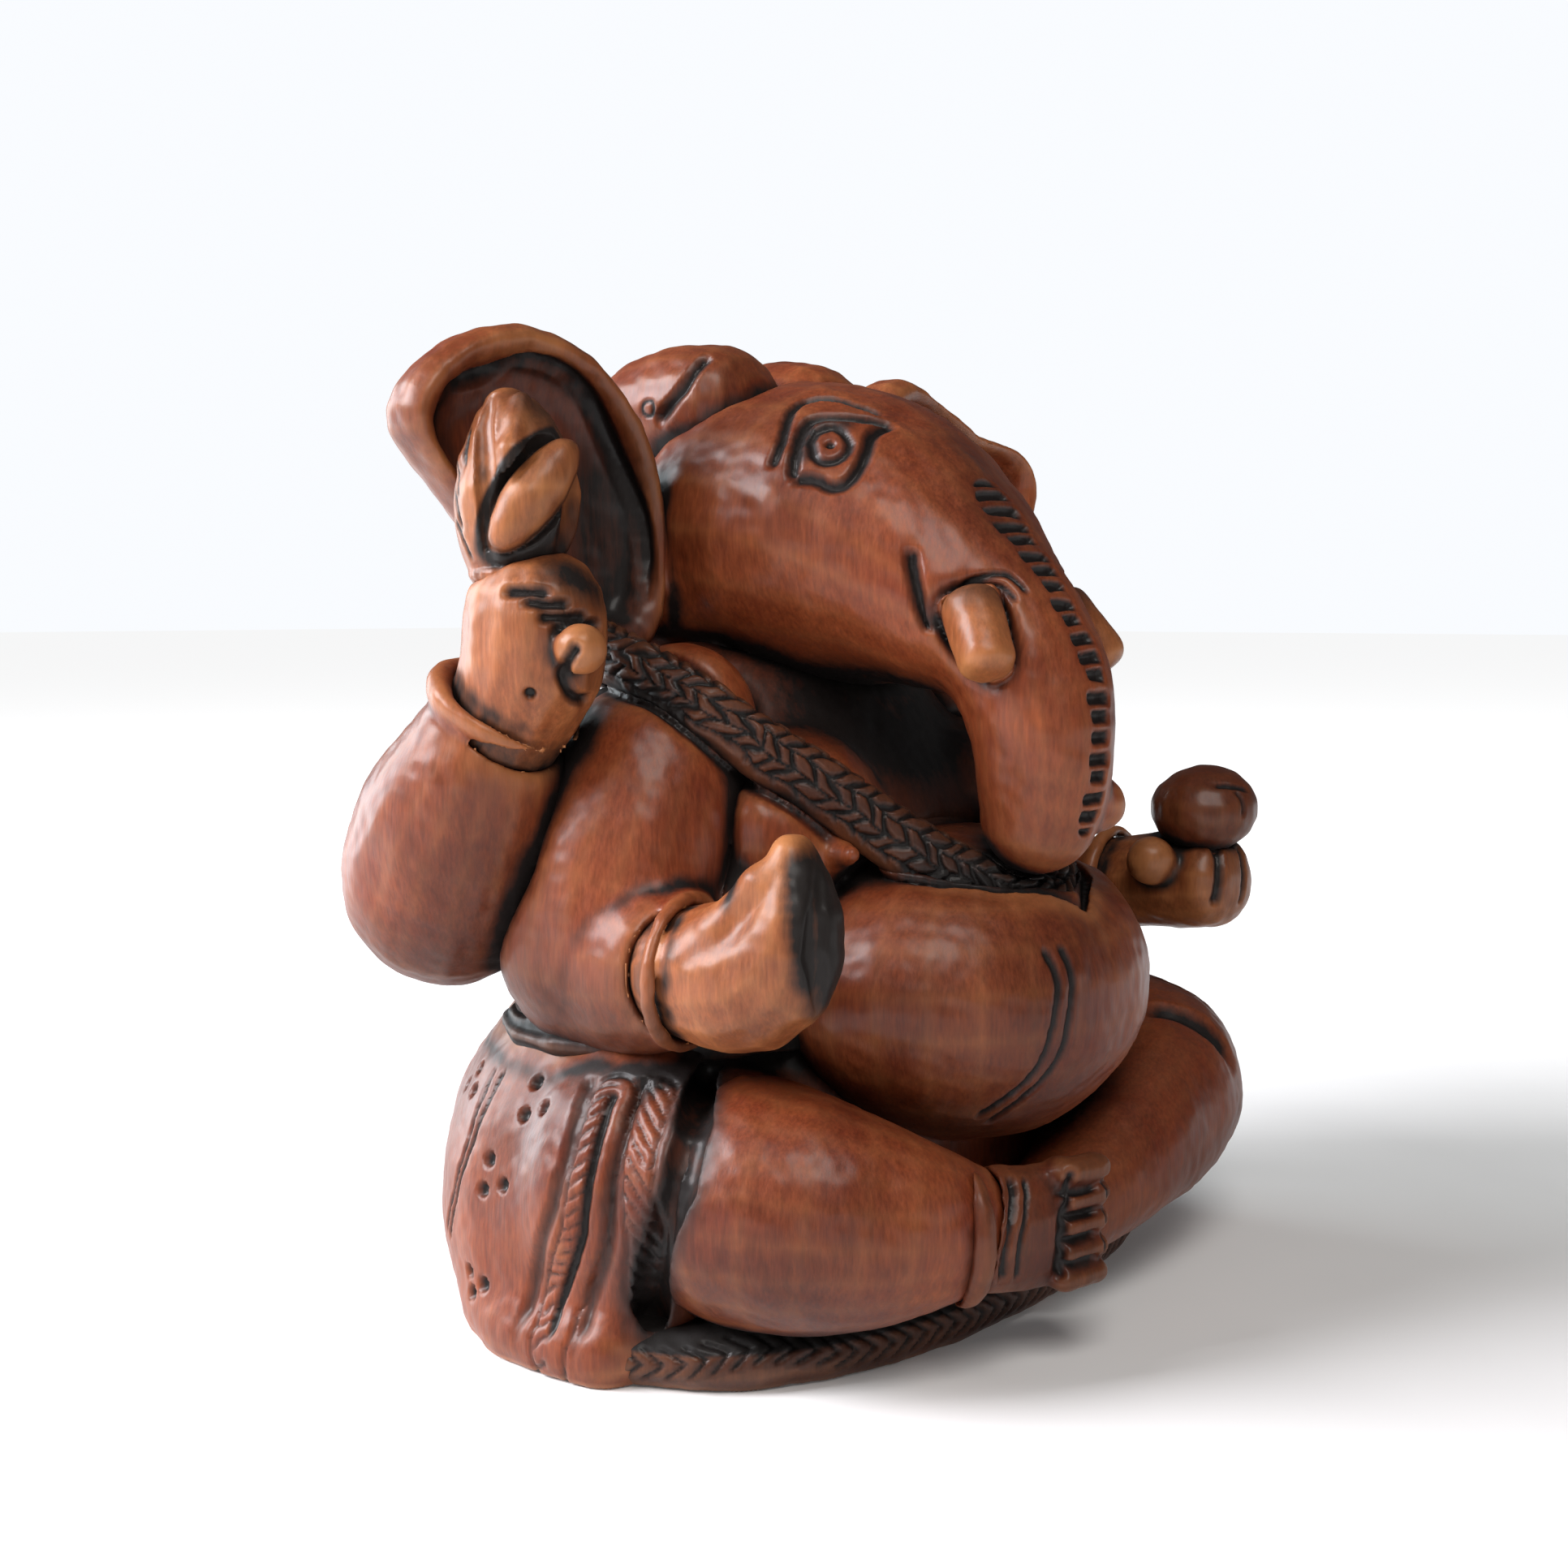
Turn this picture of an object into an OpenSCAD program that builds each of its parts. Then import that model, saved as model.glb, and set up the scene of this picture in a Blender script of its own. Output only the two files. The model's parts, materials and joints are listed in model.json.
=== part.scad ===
// Carved wooden figurine: a seated elephant-headed figure with four arms.
// The figure looks along -Y, its own right side is -X, and it rests on its plinth at Z = 0.

/* [Plinth] */
// Width of the plinth
plinth_w = 93; // [90:1:95]
// Depth of the plinth
plinth_d = 58; // [55:1:60]
// Height of the plinth
plinth_h = 6; // [4:0.5:8]

/* [Head] */
// Turn of the head towards the figure's right, in degrees
head_turn = 6; // [0:1:10]
// Half width of the head across the cheeks
head_half_w = 20.5; // [18:0.5:22]
// Half width of the trunk under the tusks
trunk_half_w = 7.2; // [6:0.2:8]
// Length of each ear from its root to its outer edge
ear_reach = 36; // [32:1:38]
// Thickness of the ear's rim
ear_rim = 7; // [5:0.5:8]
// Length of a tusk from its root to its blunt end
tusk_l = 9; // [7:0.5:11]

/* [Body] */
// Half width, half depth and half height of the belly
belly_size = [25, 20, 17.5]; // [15:0.5:30]
// Radius of the cord round the waist
cord_r = 2.2; // [1.6:0.2:3]
// Half height of the garland's band
garland_r = 4.2; // [3:0.2:4.5]

/* [Limbs] */
// Radius of the upper arms at the elbow
elbow_r = 12; // [10:0.5:13]
// Radius of the bracelets' round section
bracelet_r = 1.6; // [1.2:0.1:2.2]
// Radius of the round sweet
sweet_r = 6.6; // [5:0.2:7.5]
// Thickness of one toe
toe_r = 1.7; // [1.4:0.1:2]

/* [Hidden] */

// Moves the figure so that its own outline is centred on the origin
figure_shift = [-1, 5.56, 0];

// How far back the raised left hand stands from a mirror image of the right one
hand_lean = 12;

// Facets round a limb, and rings between two of its stations
limb_sides = 14;
limb_steps = 2;
ball_fn = 16;

// ---- Curves and closed skins ----

function unit(v) = v / norm(v);

// Catmull-Rom curve through the stations, at fraction u of the span that starts at station i
function along(s, i, u) =
    let (n = len(s), a = s[max(i - 1, 0)], b = s[i], c = s[min(i + 1, n - 1)], d = s[min(i + 2, n - 1)])
    0.5 * (2 * b + (c - a) * u + (2 * a - 5 * b + 4 * c - d) * u * u + (3 * b - a - 3 * c + d) * u * u * u);

function smoothed(s, steps) =
    concat([for (i = [0:len(s) - 2], k = [0:steps - 1]) along(s, i, k / steps)], [s[len(s) - 1]]);

// Joins rings of equal length, then closes both ends on a middle point
module skin(rings, first, last) {
    n = len(rings[0]);
    m = len(rings);
    points = concat([for (r = rings) each r], [first, last]);
    faces = concat(
        [for (i = [0:m - 2], j = [0:n - 1])
            let (a = i * n + j, b = i * n + (j + 1) % n)
            each [[a, b, b + n], [a, b + n, a + n]]],
        [for (j = [0:n - 1]) [m * n, (j + 1) % n, j]],
        [for (j = [0:n - 1]) [m * n + 1, (m - 1) * n + j, (m - 1) * n + (j + 1) % n]]
    );
    polyhedron(points, faces, convexity = 6);
}

// A rounded limb. Each station is [x, y, z, half size across, half size along the side direction].
module limb(stations, side = [1, 0, 0], sides = limb_sides, steps = limb_steps, dome = 1) {
    raw = smoothed(stations, steps);
    m = len(raw);
    cap = 3;
    place = [for (r = raw) [r[0], r[1], r[2]]];
    way = [for (i = [0:m - 1]) unit(place[min(i + 1, m - 1)] - place[max(i - 1, 0)])];
    function ring(c, t, a, b) =
        let (s = unit(cross(t, side)), w = cross(s, t))
        [for (j = [0:sides - 1]) c + s * a * cos(360 * j / sides) + w * b * sin(360 * j / sides)];
    function dome_h(i) = dome * min(raw[i][3], raw[i][4]);
    function dome_ring(i, dir, q) =
        let (f = 90 * q / (cap + 1), c = cos(f))
        ring(place[i] + dir * way[i] * dome_h(i) * sin(f), way[i], raw[i][3] * c, raw[i][4] * c);
    rings = concat(
        [for (q = [cap:-1:1]) dome_ring(0, -1, q)],
        [for (i = [0:m - 1]) ring(place[i], way[i], raw[i][3], raw[i][4])],
        [for (q = [1:cap]) dome_ring(m - 1, 1, q)]
    );
    skin(rings, place[0] - way[0] * dome_h(0), place[m - 1] + way[m - 1] * dome_h(m - 1));
}

module ball(centre, radii, fn = ball_fn) {
    translate(centre) scale(radii) sphere(1, $fn = fn);
}

// A ring of round section lying across the direction given by its turn
module ring(centre, turn, radius, thick, squeeze = 1) {
    translate(centre) rotate(turn) scale([1, squeeze, 1])
        rotate_extrude($fn = 22) translate([radius, 0]) circle(thick, $fn = 6);
}

// Keeps a carved mass as one mesh, whatever cuts it
module carved() {
    resize([0, 0, 0]) translate(figure_shift) children();
}

module turned_head() {
    rotate([0, 0, -head_turn]) children();
}

module mirrored() {
    mirror([1, 0, 0]) children();
}

// ---- Plinth, seat and legs ----

// Horizontal slices [half width, half depth, middle in Y, z] joined into one closed mass
module stack(slices, power = 2, sides = 28, steps = 2) {
    raw = smoothed(slices, steps);
    function curve(v) = sign(v) * pow(abs(v), 2 / power);
    rings = [for (s = raw) [for (j = [0:sides - 1]) let (a = 360 * j / sides)
        [s[0] * curve(cos(a)), s[2] - s[1] * curve(sin(a)), s[3]]]];
    low = raw[0];
    top = raw[len(raw) - 1];
    skin(rings, [0, low[2], low[3]], [0, top[2], top[3]]);
}

module plinth_shape() {
    translate([1.5, 0, 0]) stack([
        [plinth_w / 2 - 1.5, plinth_d / 2 - 1.5, -2, 0],
        [plinth_w / 2, plinth_d / 2, -2, plinth_h * 0.35],
        [plinth_w / 2 - 0.3, plinth_d / 2 - 0.3, -2, plinth_h * 0.7],
        [plinth_w / 2 - 2.5, plinth_d / 2 - 2.5, -2, plinth_h]
    ], power = 2.5, steps = 1);
}

module hip_shape() {
    stack([
        [36, 22, 5, 0],
        [40.5, 26, 5, 3],
        [43, 27.5, 5, 8],
        [43, 28, 5, 15],
        [41, 27, 5, 23],
        [37.5, 25, 5, 29],
        [34, 22, 5, 33]
    ], power = 2.2);
    for (x = [-1, 1])
        ball([x * 29.5, -3.5, 17], [15.5, 14, 16]);
}

module right_leg_shape() {
    limb([
        [-31, -11, 17.5, 11.5, 12.5],
        [-32.5, -18, 18, 12.5, 13],
        [-31, -25, 17.5, 10.5, 12],
        [-26.5, -31, 16.5, 8, 10],
        [-21, -35, 15.5, 5, 7.5]
    ], side = [0, 0, 1], sides = 20);
}

module right_foot_shape() {
    limb([
        [-20, -36, 15.5, 6.6, 4.6],
        [-15, -38, 15, 6.4, 3.6],
        [-10.5, -40, 15, 6.6, 3]
    ], side = [0, 1, 0]);
    for (k = [0:4])
        limb([
            [-12, -41.5, 9.6 + 2.75 * k, toe_r * 0.8, toe_r],
            [-7.5, -42.6, 9.6 + 2.75 * k, toe_r * 0.8, toe_r]
        ], side = [0, 1, 0], sides = 10, steps = 1);
    ring([-21.5, -35, 15.6], [0, 90, -28], 6.6, 1.3, 0.8);
}

module left_leg_shape() {
    limb([
        [31, -10, 17.5, 11.5, 12.5],
        [38, -17, 19, 12.5, 13],
        [38.5, -24.5, 19, 12, 12.5],
        [29, -29.5, 17.5, 10, 11],
        [15, -31, 14, 8.5, 8.5],
        [2, -32, 11, 6, 6]
    ], side = [0, 0, 1], sides = 20);
}

// ---- Torso ----

module waist_cord_shape() {
    ring([0, 4, 32.5], [-4, 0, 0], 37.5, cord_r, 0.66);
}

module torso_shape() {
    stack([
        [33, 22, 4, 31],
        [36, 24, 4, 36],
        [37, 25, 4, 44],
        [33, 23, 5, 54],
        [28, 19, 6, 63],
        [20, 14, 6, 71],
        [13, 10, 6, 76]
    ], power = 2.2);
    for (x = [-1, 1])
        ball([x * 16, -10, 55], [12, 9, 10]);
}

module belly_shape() {
    ball([0, -21, 36.5], belly_size, fn = 24);
}

// Middle line of the garland from the nape over the right shoulder to the middle of the chest
garland_line = [
    [0, 20.5, 69.5],
    [-12, 19, 71],
    [-22, 14, 73],
    [-28, 7, 73.5],
    [-29.5, 0, 71.5],
    [-28, -7.5, 67.5],
    [-24.5, -12, 63.5],
    [-19.5, -17.5, 58.5],
    [-14, -23, 53],
    [-7, -29.5, 48],
    [0, -33.5, 45.6]
];

// The same line mirrored back up the other side, which closes the loop
garland_loop = concat(
    garland_line,
    [for (i = [len(garland_line) - 2:-1:1]) let (p = garland_line[i]) [-p[0], p[1], p[2] + 0.3]]
);

// A band of oval section along a closed loop, wide upwards and flatter sideways
module garland_shape() {
    n = len(garland_loop);
    sides = 12;
    rings = [for (i = [0:n - 1])
        let (way = unit(garland_loop[(i + 1) % n] - garland_loop[(i + n - 1) % n]))
        let (out = unit(cross(way, [0, 0, 1])), up = cross(out, way))
        [for (j = [0:sides - 1])
            garland_loop[i] + out * garland_r * 0.75 * cos(360 * j / sides)
                + up * garland_r * sin(360 * j / sides)]];
    points = [for (r = rings) each r];
    faces = [for (i = [0:n - 1], j = [0:sides - 1])
        let (a = i * sides + j, b = i * sides + (j + 1) % sides)
        let (c = ((i + 1) % n) * sides + (j + 1) % sides, d = ((i + 1) % n) * sides + j)
        each [[a, b, c], [a, c, d]]];
    polyhedron(points, faces, convexity = 6);
}

// ---- Lower arms ----

module lower_right_arm_shape() {
    limb([
        [-24, 0, 66, 8.5, 9],
        [-28.5, 1, 58, 10, 11.5],
        [-31.5, 2.5, 49, 11, 12.5],
        [-33, 3.5, 42.5, 10.5, 12]
    ], side = [0, 1, 0], sides = 18);
    limb([
        [-33, 5, 41, 10, 9],
        [-35, -5, 41, 9.5, 8],
        [-36.3, -13, 41.5, 7, 6.6]
    ], side = [1, 0, 0]);
    ring([-36.2, -12, 41.5], [90, 0, 8], 7.2, bracelet_r);
}

module lower_right_hand_shape() {
    limb([
        [-36.5, -12, 41.5, 6.4, 6],
        [-36.7, -18, 41.8, 7.6, 6.6],
        [-36.4, -23.5, 43.8, 7, 6],
        [-36, -25.8, 49, 4.2, 5],
        [-35.8, -25, 54.5, 2, 2.6]
    ], side = [1, 0, 0]);
}

module lower_left_arm_shape() {
    limb([
        [24, 0, 66, 8.5, 9],
        [28.5, 1, 58, 10, 11.5],
        [32, 2, 49, 11, 12],
        [34, 1.5, 43.5, 10.5, 11]
    ], side = [0, 1, 0], sides = 18);
    limb([
        [34, 2, 42, 9.5, 8.5],
        [37, -9, 42, 8, 7.5],
        [38.5, -19, 43, 6.4, 6.2]
    ], side = [1, 0, 0]);
    ring([38.5, -19, 43], [90, 0, 0], 6.6, bracelet_r);
}

module lower_left_hand_shape() {
    limb([
        [38.5, -18, 43, 5.6, 5.6],
        [39, -26, 44.2, 6, 6.6],
        [39, -33, 44.8, 6, 6.8]
    ], side = [1, 0, 0], dome = 0.6);
    ball([31.5, -28, 47.5], [3, 3, 3]);
}

module sweet_ball_shape() {
    ball([38.5, -31.5, 53.3], [sweet_r, sweet_r, sweet_r * 0.8]);
}

// ---- Upper arms, hands and buds ----
// All are drawn for the right side. The left arm is mirrored, and its hand leans back by hand_lean
// to clear the turned head's left ear.

module upper_arm_shape(lean = 0) {
    limb([
        [-20, 10, 61, 9, 9],
        [-30, 16, 54, 11, 11],
        [-37.5, 19, 50, elbow_r, elbow_r]
    ], side = [0, 0, 1]);
    limb([
        [-39, 19.5 + lean * 0.1, 49, elbow_r, elbow_r],
        [-41, 15 + lean * 0.4, 56, 11.3, 11],
        [-42, 10.5 + lean * 0.8, 63, 8.6, 8.5],
        [-42, 8 + lean, 67, 7, 7]
    ], side = [1, 0, 0], sides = 18);
    ring([-42, 7.8 + lean, 68], [lean > 0 ? 0 : 32, 0, 0], 7.4, bracelet_r);
}

module upper_hand_shape(lean = 0) {
    translate([0, lean, 0]) {
        limb([
            [-42, 8, 66, 6.3, 6.3],
            [-41.5, 4.5, 72, 7.6, 7.2],
            [-41.5, 4, 77.5, 8, 6.8]
        ], side = [1, 0, 0]);
        ball([-44, -5, 74], [2.6, 2.6, 2.6]);
    }
}

module bud_shape(lean = 0) {
    translate([0, lean, 0])
        limb([
            [-42, 7, 80, 3.6, 3.6],
            [-42, 6.5, 84, 5.4, 5.4],
            [-42, 5.5, 90, 6.8, 6.3],
            [-42, 6.5, 96, 4.6, 4.4],
            [-42, 7.5, 99, 2, 2]
        ], side = [1, 0, 0], dome = 0.6);
}

// ---- Head ----

module head_shape() {
    limb([
        [0, 17, 87, 12, 13],
        [0, 8, 87, 16.5, head_half_w - 1],
        [0, -4, 86.3, 17.4, head_half_w],
        [0, -14, 83.4, 15, head_half_w - 3],
        [0, -22.5, 79, 11.1, 13.5],
        [0, -29.5, 74.3, 8.3, 10],
        [0, -33, 68, 8, 8],
        [0, -33.7, 61, 7.6, trunk_half_w],
        [0, -33, 56, 6.4, trunk_half_w - 1]
    ], side = [1, 0, 0], sides = 20);
    limb([
        [2, -34, 58, 5, 4.5],
        [7, -36, 57, 3.6, 3.2]
    ], side = [0, 0, 1], sides = 10);
}

// Two rolled lobes of hair, from the top of the head to the nape; the left one lies a little lower
module crown_shape() {
    for (x = [-1, 1])
        limb([
            [x * 7.5, 8, 101 - x * 0.4, 7, 8],
            [x * 8.2, 16 - x * 0.3, 100, 8, 8.5],
            [x * 8, 23 - x * 0.3, 94, 7.5, 8.5],
            [x * 7.5, 26, 86 - x * 0.4, 6.5, 8]
        ], side = [1, 0, 0], sides = 16);
}

// Outlines of the ears as [u, v]: u runs outwards from the root and v upwards. The carving is uneven.
right_ear_edge = [[3, -17], [0.5, -9], [1, 0], [4, 8.5], [10, 14.7], [19, 17.5], [27, 15.2], [32, 10.5],
    [32.4, 6], [28, 0.4], [23, -5.5], [18, -12], [12, -17.5]];
left_ear_edge = [[2, -17], [-2, -9], [-4, 4], [-3, 13.2], [3, 16.5], [11, 14.3], [20, 10.8], [29, 9.8],
    [34, 7], [34.8, 2.6], [30.6, -3], [23, -10], [13, -16]];

function closed_curve(p, steps) =
    let (n = len(p))
    [for (i = [0:n - 1], k = [0:steps - 1])
        along([p[(i + n - 1) % n], p[i], p[(i + 1) % n], p[(i + 2) % n]], 1, k / steps)];

// Slices of the ear from the middle of its dish, over the rim, to the middle of its back: [spread, depth]
ear_slices = [[0.3, 0.1], [0.6, 0.05], [0.76, -0.1], [0.84, -0.55], [0.93, -0.7], [1, -0.4], [1, 0.1],
    [0.9, 0.45], [0.6, 0.7], [0.3, 0.8]];

module ear_plate(edge, reach_ratio) {
    outline = closed_curve(edge, 2);
    n = len(outline);
    middle = [for (axis = [0, 1]) [for (p = outline) p[axis]] * [for (p = outline) 1] / n];
    function spot(e, k, d) =
        [(middle[0] + (e[0] - middle[0]) * k) * reach_ratio, d * ear_rim, middle[1] + (e[1] - middle[1]) * k];
    rings = [for (s = ear_slices) [for (j = [n - 1:-1:0]) spot(outline[j], s[0], s[1])]];
    last = ear_slices[len(ear_slices) - 1];
    skin(rings, spot(middle, 1, ear_slices[0][1]), spot(middle, 1, last[1]));
}

module right_ear_shape() {
    turned_head() mirrored() translate([18, 7.5, 90.2]) rotate([0, 0, 7])
        ear_plate(right_ear_edge, ear_reach / 36);
}

module left_ear_shape() {
    turned_head() translate([18, 7, 90]) rotate([0, 0, 7])
        ear_plate(left_ear_edge, ear_reach / 36);
}

module tusk_shape() {
    root = [-7.6, -29.4, 78.8];
    tip = root + unit([-3, -5.6, -8]) * tusk_l;
    limb([[each root, 3.9, 3.9], [each tip, 3.5, 3.5]], side = [1, 0, 0], steps = 3, dome = 0.3);
}

// ---- Named pieces, each cut back to its neighbours ----

module plinth() {
    color("#8a4a2b") carved() plinth_shape();
}

module hip_wrap() {
    color("#7a3d24") carved() difference() {
        hip_shape();
        plinth_shape();
        right_leg_shape();
        left_leg_shape();
        waist_cord_shape();
    }
}

module right_leg() {
    color("#9a5430") carved() difference() {
        right_leg_shape();
        plinth_shape();
    }
}

module right_foot() {
    color("#8f4c2c") carved() difference() {
        right_foot_shape();
        right_leg_shape();
        plinth_shape();
    }
}

module left_leg() {
    color("#9a5430") carved() difference() {
        left_leg_shape();
        plinth_shape();
        right_leg_shape();
        right_foot_shape();
    }
}

module waist_cord() {
    color("#5d2e1c") carved() difference() {
        waist_cord_shape();
        belly_shape();
        right_leg_shape();
        left_leg_shape();
        lower_right_arm_shape();
        lower_left_arm_shape();
    }
}

module torso() {
    color("#84452a") carved() difference() {
        torso_shape();
        hip_shape();
        belly_shape();
        garland_shape();
        waist_cord_shape();
        lower_right_arm_shape();
        lower_left_arm_shape();
        upper_arm_shape();
        mirrored() upper_arm_shape(hand_lean);
        turned_head() head_shape();
    }
}

module belly() {
    color("#94502f") carved() difference() {
        belly_shape();
        turned_head() head_shape();
        hip_shape();
        garland_shape();
        right_leg_shape();
        left_leg_shape();
        lower_right_hand_shape();
    }
}

module garland() {
    color("#3f2118") carved() difference() {
        garland_shape();
        turned_head() head_shape();
        right_ear_shape();
        left_ear_shape();
    }
}

module lower_right_arm() {
    color("#8c4a2b") carved() difference() {
        lower_right_arm_shape();
        hip_shape();
        garland_shape();
        lower_right_hand_shape();
        upper_arm_shape();
        belly_shape();
    }
}

module lower_right_hand() {
    color("#9c5732") carved() lower_right_hand_shape();
}

module upper_right_arm() {
    color("#8c4a2b") carved() difference() {
        upper_arm_shape();
        upper_hand_shape();
        garland_shape();
    }
}

module upper_right_hand() {
    color("#9c5732") carved() difference() {
        upper_hand_shape();
        bud_shape();
        right_ear_shape();
    }
}

module right_bud() {
    color("#a9642f") carved() difference() {
        bud_shape();
        right_ear_shape();
    }
}

module lower_left_arm() {
    color("#8c4a2b") carved() difference() {
        lower_left_arm_shape();
        hip_shape();
        garland_shape();
        lower_left_hand_shape();
        mirrored() upper_arm_shape(hand_lean);
        left_ear_shape();
        belly_shape();
    }
}

module lower_left_hand() {
    color("#9c5732") carved() difference() {
        lower_left_hand_shape();
        sweet_ball_shape();
    }
}

module sweet_ball() {
    color("#a9642f") carved() sweet_ball_shape();
}

module upper_left_arm() {
    color("#8c4a2b") carved() mirrored() difference() {
        upper_arm_shape(hand_lean);
        upper_hand_shape(hand_lean);
        garland_shape();
    }
}

module upper_left_hand() {
    color("#9c5732") carved() difference() {
        mirrored() upper_hand_shape(hand_lean);
        mirrored() bud_shape(hand_lean);
        left_ear_shape();
    }
}

module left_bud() {
    color("#a9642f") carved() difference() {
        mirrored() bud_shape(hand_lean);
        left_ear_shape();
    }
}

module head() {
    color("#94502f") carved() difference() {
        turned_head() head_shape();
        right_ear_shape();
        left_ear_shape();
        turned_head() crown_shape();
        turned_head() tusk_shape();
        turned_head() mirrored() tusk_shape();
    }
}

module crown() {
    color("#7a3d24") carved() difference() {
        turned_head() crown_shape();
        right_ear_shape();
        left_ear_shape();
    }
}

module right_ear() {
    color("#8c4a2b") carved() right_ear_shape();
}

module left_ear() {
    color("#8c4a2b") carved() left_ear_shape();
}

module right_tusk() {
    color("#b0692f") carved() turned_head() tusk_shape();
}

module left_tusk() {
    color("#b0692f") carved() turned_head() mirrored() tusk_shape();
}

plinth();
hip_wrap();
right_leg();
right_foot();
left_leg();
waist_cord();
torso();
belly();
garland();
lower_right_arm();
lower_right_hand();
upper_right_arm();
upper_right_hand();
right_bud();
lower_left_arm();
lower_left_hand();
sweet_ball();
upper_left_arm();
upper_left_hand();
left_bud();
head();
crown();
right_ear();
left_ear();
right_tusk();
left_tusk();
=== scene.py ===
"""The carved wooden elephant figurine: each CAD piece is worked over like wood, stained and varnished."""

import math

import bpy
import numpy as np
import openvdb
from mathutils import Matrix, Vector, kdtree
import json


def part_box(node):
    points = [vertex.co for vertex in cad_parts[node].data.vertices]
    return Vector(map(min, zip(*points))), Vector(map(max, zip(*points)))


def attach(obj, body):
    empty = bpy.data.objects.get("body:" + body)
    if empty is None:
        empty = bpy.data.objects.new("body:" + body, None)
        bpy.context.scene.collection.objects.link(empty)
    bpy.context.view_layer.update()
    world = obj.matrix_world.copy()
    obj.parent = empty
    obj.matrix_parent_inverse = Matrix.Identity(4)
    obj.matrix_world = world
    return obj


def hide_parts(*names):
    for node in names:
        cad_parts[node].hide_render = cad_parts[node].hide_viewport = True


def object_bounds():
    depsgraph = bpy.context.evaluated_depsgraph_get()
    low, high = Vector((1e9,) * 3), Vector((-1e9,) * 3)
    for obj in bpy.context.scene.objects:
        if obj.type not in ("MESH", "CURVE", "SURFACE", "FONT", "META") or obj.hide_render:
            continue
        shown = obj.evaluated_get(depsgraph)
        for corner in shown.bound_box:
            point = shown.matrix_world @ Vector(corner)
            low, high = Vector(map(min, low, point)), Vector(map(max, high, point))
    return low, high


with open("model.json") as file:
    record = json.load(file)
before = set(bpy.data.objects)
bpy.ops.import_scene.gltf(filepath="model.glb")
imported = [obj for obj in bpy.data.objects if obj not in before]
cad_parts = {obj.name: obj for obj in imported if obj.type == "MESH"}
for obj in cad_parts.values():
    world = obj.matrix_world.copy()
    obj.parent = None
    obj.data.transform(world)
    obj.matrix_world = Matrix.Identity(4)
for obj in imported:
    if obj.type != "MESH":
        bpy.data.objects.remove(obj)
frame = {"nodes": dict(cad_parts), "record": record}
cad_low, cad_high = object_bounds()

# Everything is worked out in millimetres; the meshes are stored in metres
MM = 1000.0

# Cells of true distance kept on each side of a surface, and cells of room left round a piece
BAND = 6
PAD = 8

# Cell size of the whole figure's field, and the blurs in cells that show its creases and its shelter, from
# which shade is painted
UNION_VOXEL = 0.5
CREASE_BLUR = 1.8
SHELTER_BLUR = 3.5

# How far a piece's field, and then its finished corners, stay inside the CAD's box
FIELD_INSIDE = 0.02
INSIDE = 0.005

# How much is taken off a piece, and how far it may reach out to stay under its neighbours' surface
TRIM = 0.1
REACH_OUT = 0.7
REACH_UNDER = 0.45

# Heights of the long knife facets and of the small chips between them
KNIFE_HEIGHT = 0.09
CHIP_HEIGHT = 0.025

# How many corners are measured against a stroke at once, to save memory
CHUNK = 20000

random = np.random.default_rng(7)


# ---- Points and directions taken from the frame ----


def corner_mm(corner):
    return np.array(corner) * MM


def box_mm(node):
    low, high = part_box(node)
    return corner_mm(low), corner_mm(high)


def at(node, x, y, z):
    """The point at these fractions of a node's box."""
    low, high = box_mm(node)
    return low + (high - low) * np.array([x, y, z])


def middle(node):
    return at(node, 0.5, 0.5, 0.5)


def unit(v):
    return v / np.linalg.norm(v)


def ramp(value, start, stop):
    """0 up to start and 1 from stop on, straight between them; a falling ramp has start above stop."""
    return np.clip((value - start) / (stop - start), 0, 1)


def off_middle(turns):
    """How far each place is from the middle of its own repeat, from 0 to 0.5."""
    return np.abs(turns % 1 - 0.5)


BODY_X = middle("waist_cord")[0]
HEAD_MIDDLE = (middle("left_tusk") + middle("right_tusk")) / 2
HEAD_SIDE = unit(middle("left_tusk") - middle("right_tusk"))


def across_body(p):
    """The same place on the other side of the body."""
    return np.array([2 * BODY_X - p[0], p[1], p[2]])


def across_head(p):
    """The same place on the other side of the turned head."""
    return p - 2 * np.dot(p - HEAD_MIDDLE, HEAD_SIDE) * HEAD_SIDE


# ---- Distance fields: negative inside the wood ----


def triangles_of(node):
    mesh = frame["nodes"][node].data
    mesh.calc_loop_triangles()
    points = np.empty(len(mesh.vertices) * 3, np.float32)
    corners = np.empty(len(mesh.loop_triangles) * 3, np.int32)
    mesh.vertices.foreach_get("co", points)
    mesh.loop_triangles.foreach_get("vertices", corners)
    return points.reshape(-1, 3) * MM, corners.reshape(-1, 3)


def field_of(points, corners, voxel, low, shape):
    """The signed distance to a closed mesh, on a dense grid of cells."""
    grid = openvdb.FloatGrid.createLevelSetFromPolygons(
        points.astype(np.float32),
        triangles=corners.astype(np.uint32),
        transform=openvdb.createLinearTransform(voxelSize=voxel),
        halfWidth=BAND,
    )
    field = np.empty(shape, np.float32)
    grid.copyToArray(field, ijk=tuple(int(i) for i in low))
    return field


def grid_round(points, voxel):
    low = np.floor(points.min(0) / voxel).astype(int) - PAD
    high = np.ceil(points.max(0) / voxel).astype(int) + PAD
    return low, tuple(int(n) for n in high - low + 1)


def blurred(field, sigma):
    reach = int(math.ceil(3 * sigma))
    steps = np.arange(-reach, reach + 1)
    weights = np.exp(-0.5 * (steps / sigma) ** 2).astype(np.float32)
    weights /= weights.sum()
    for axis in range(3):
        size = field.shape[axis]
        edges = [(reach, reach) if a == axis else (0, 0) for a in range(3)]
        padded = np.moveaxis(np.pad(field, edges, mode="edge"), axis, 0)
        total = np.zeros_like(padded[:size])
        for k, weight in enumerate(weights):
            total += weight * padded[k : k + size]
        field = np.moveaxis(total, 0, axis)
    return np.ascontiguousarray(field)


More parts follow.
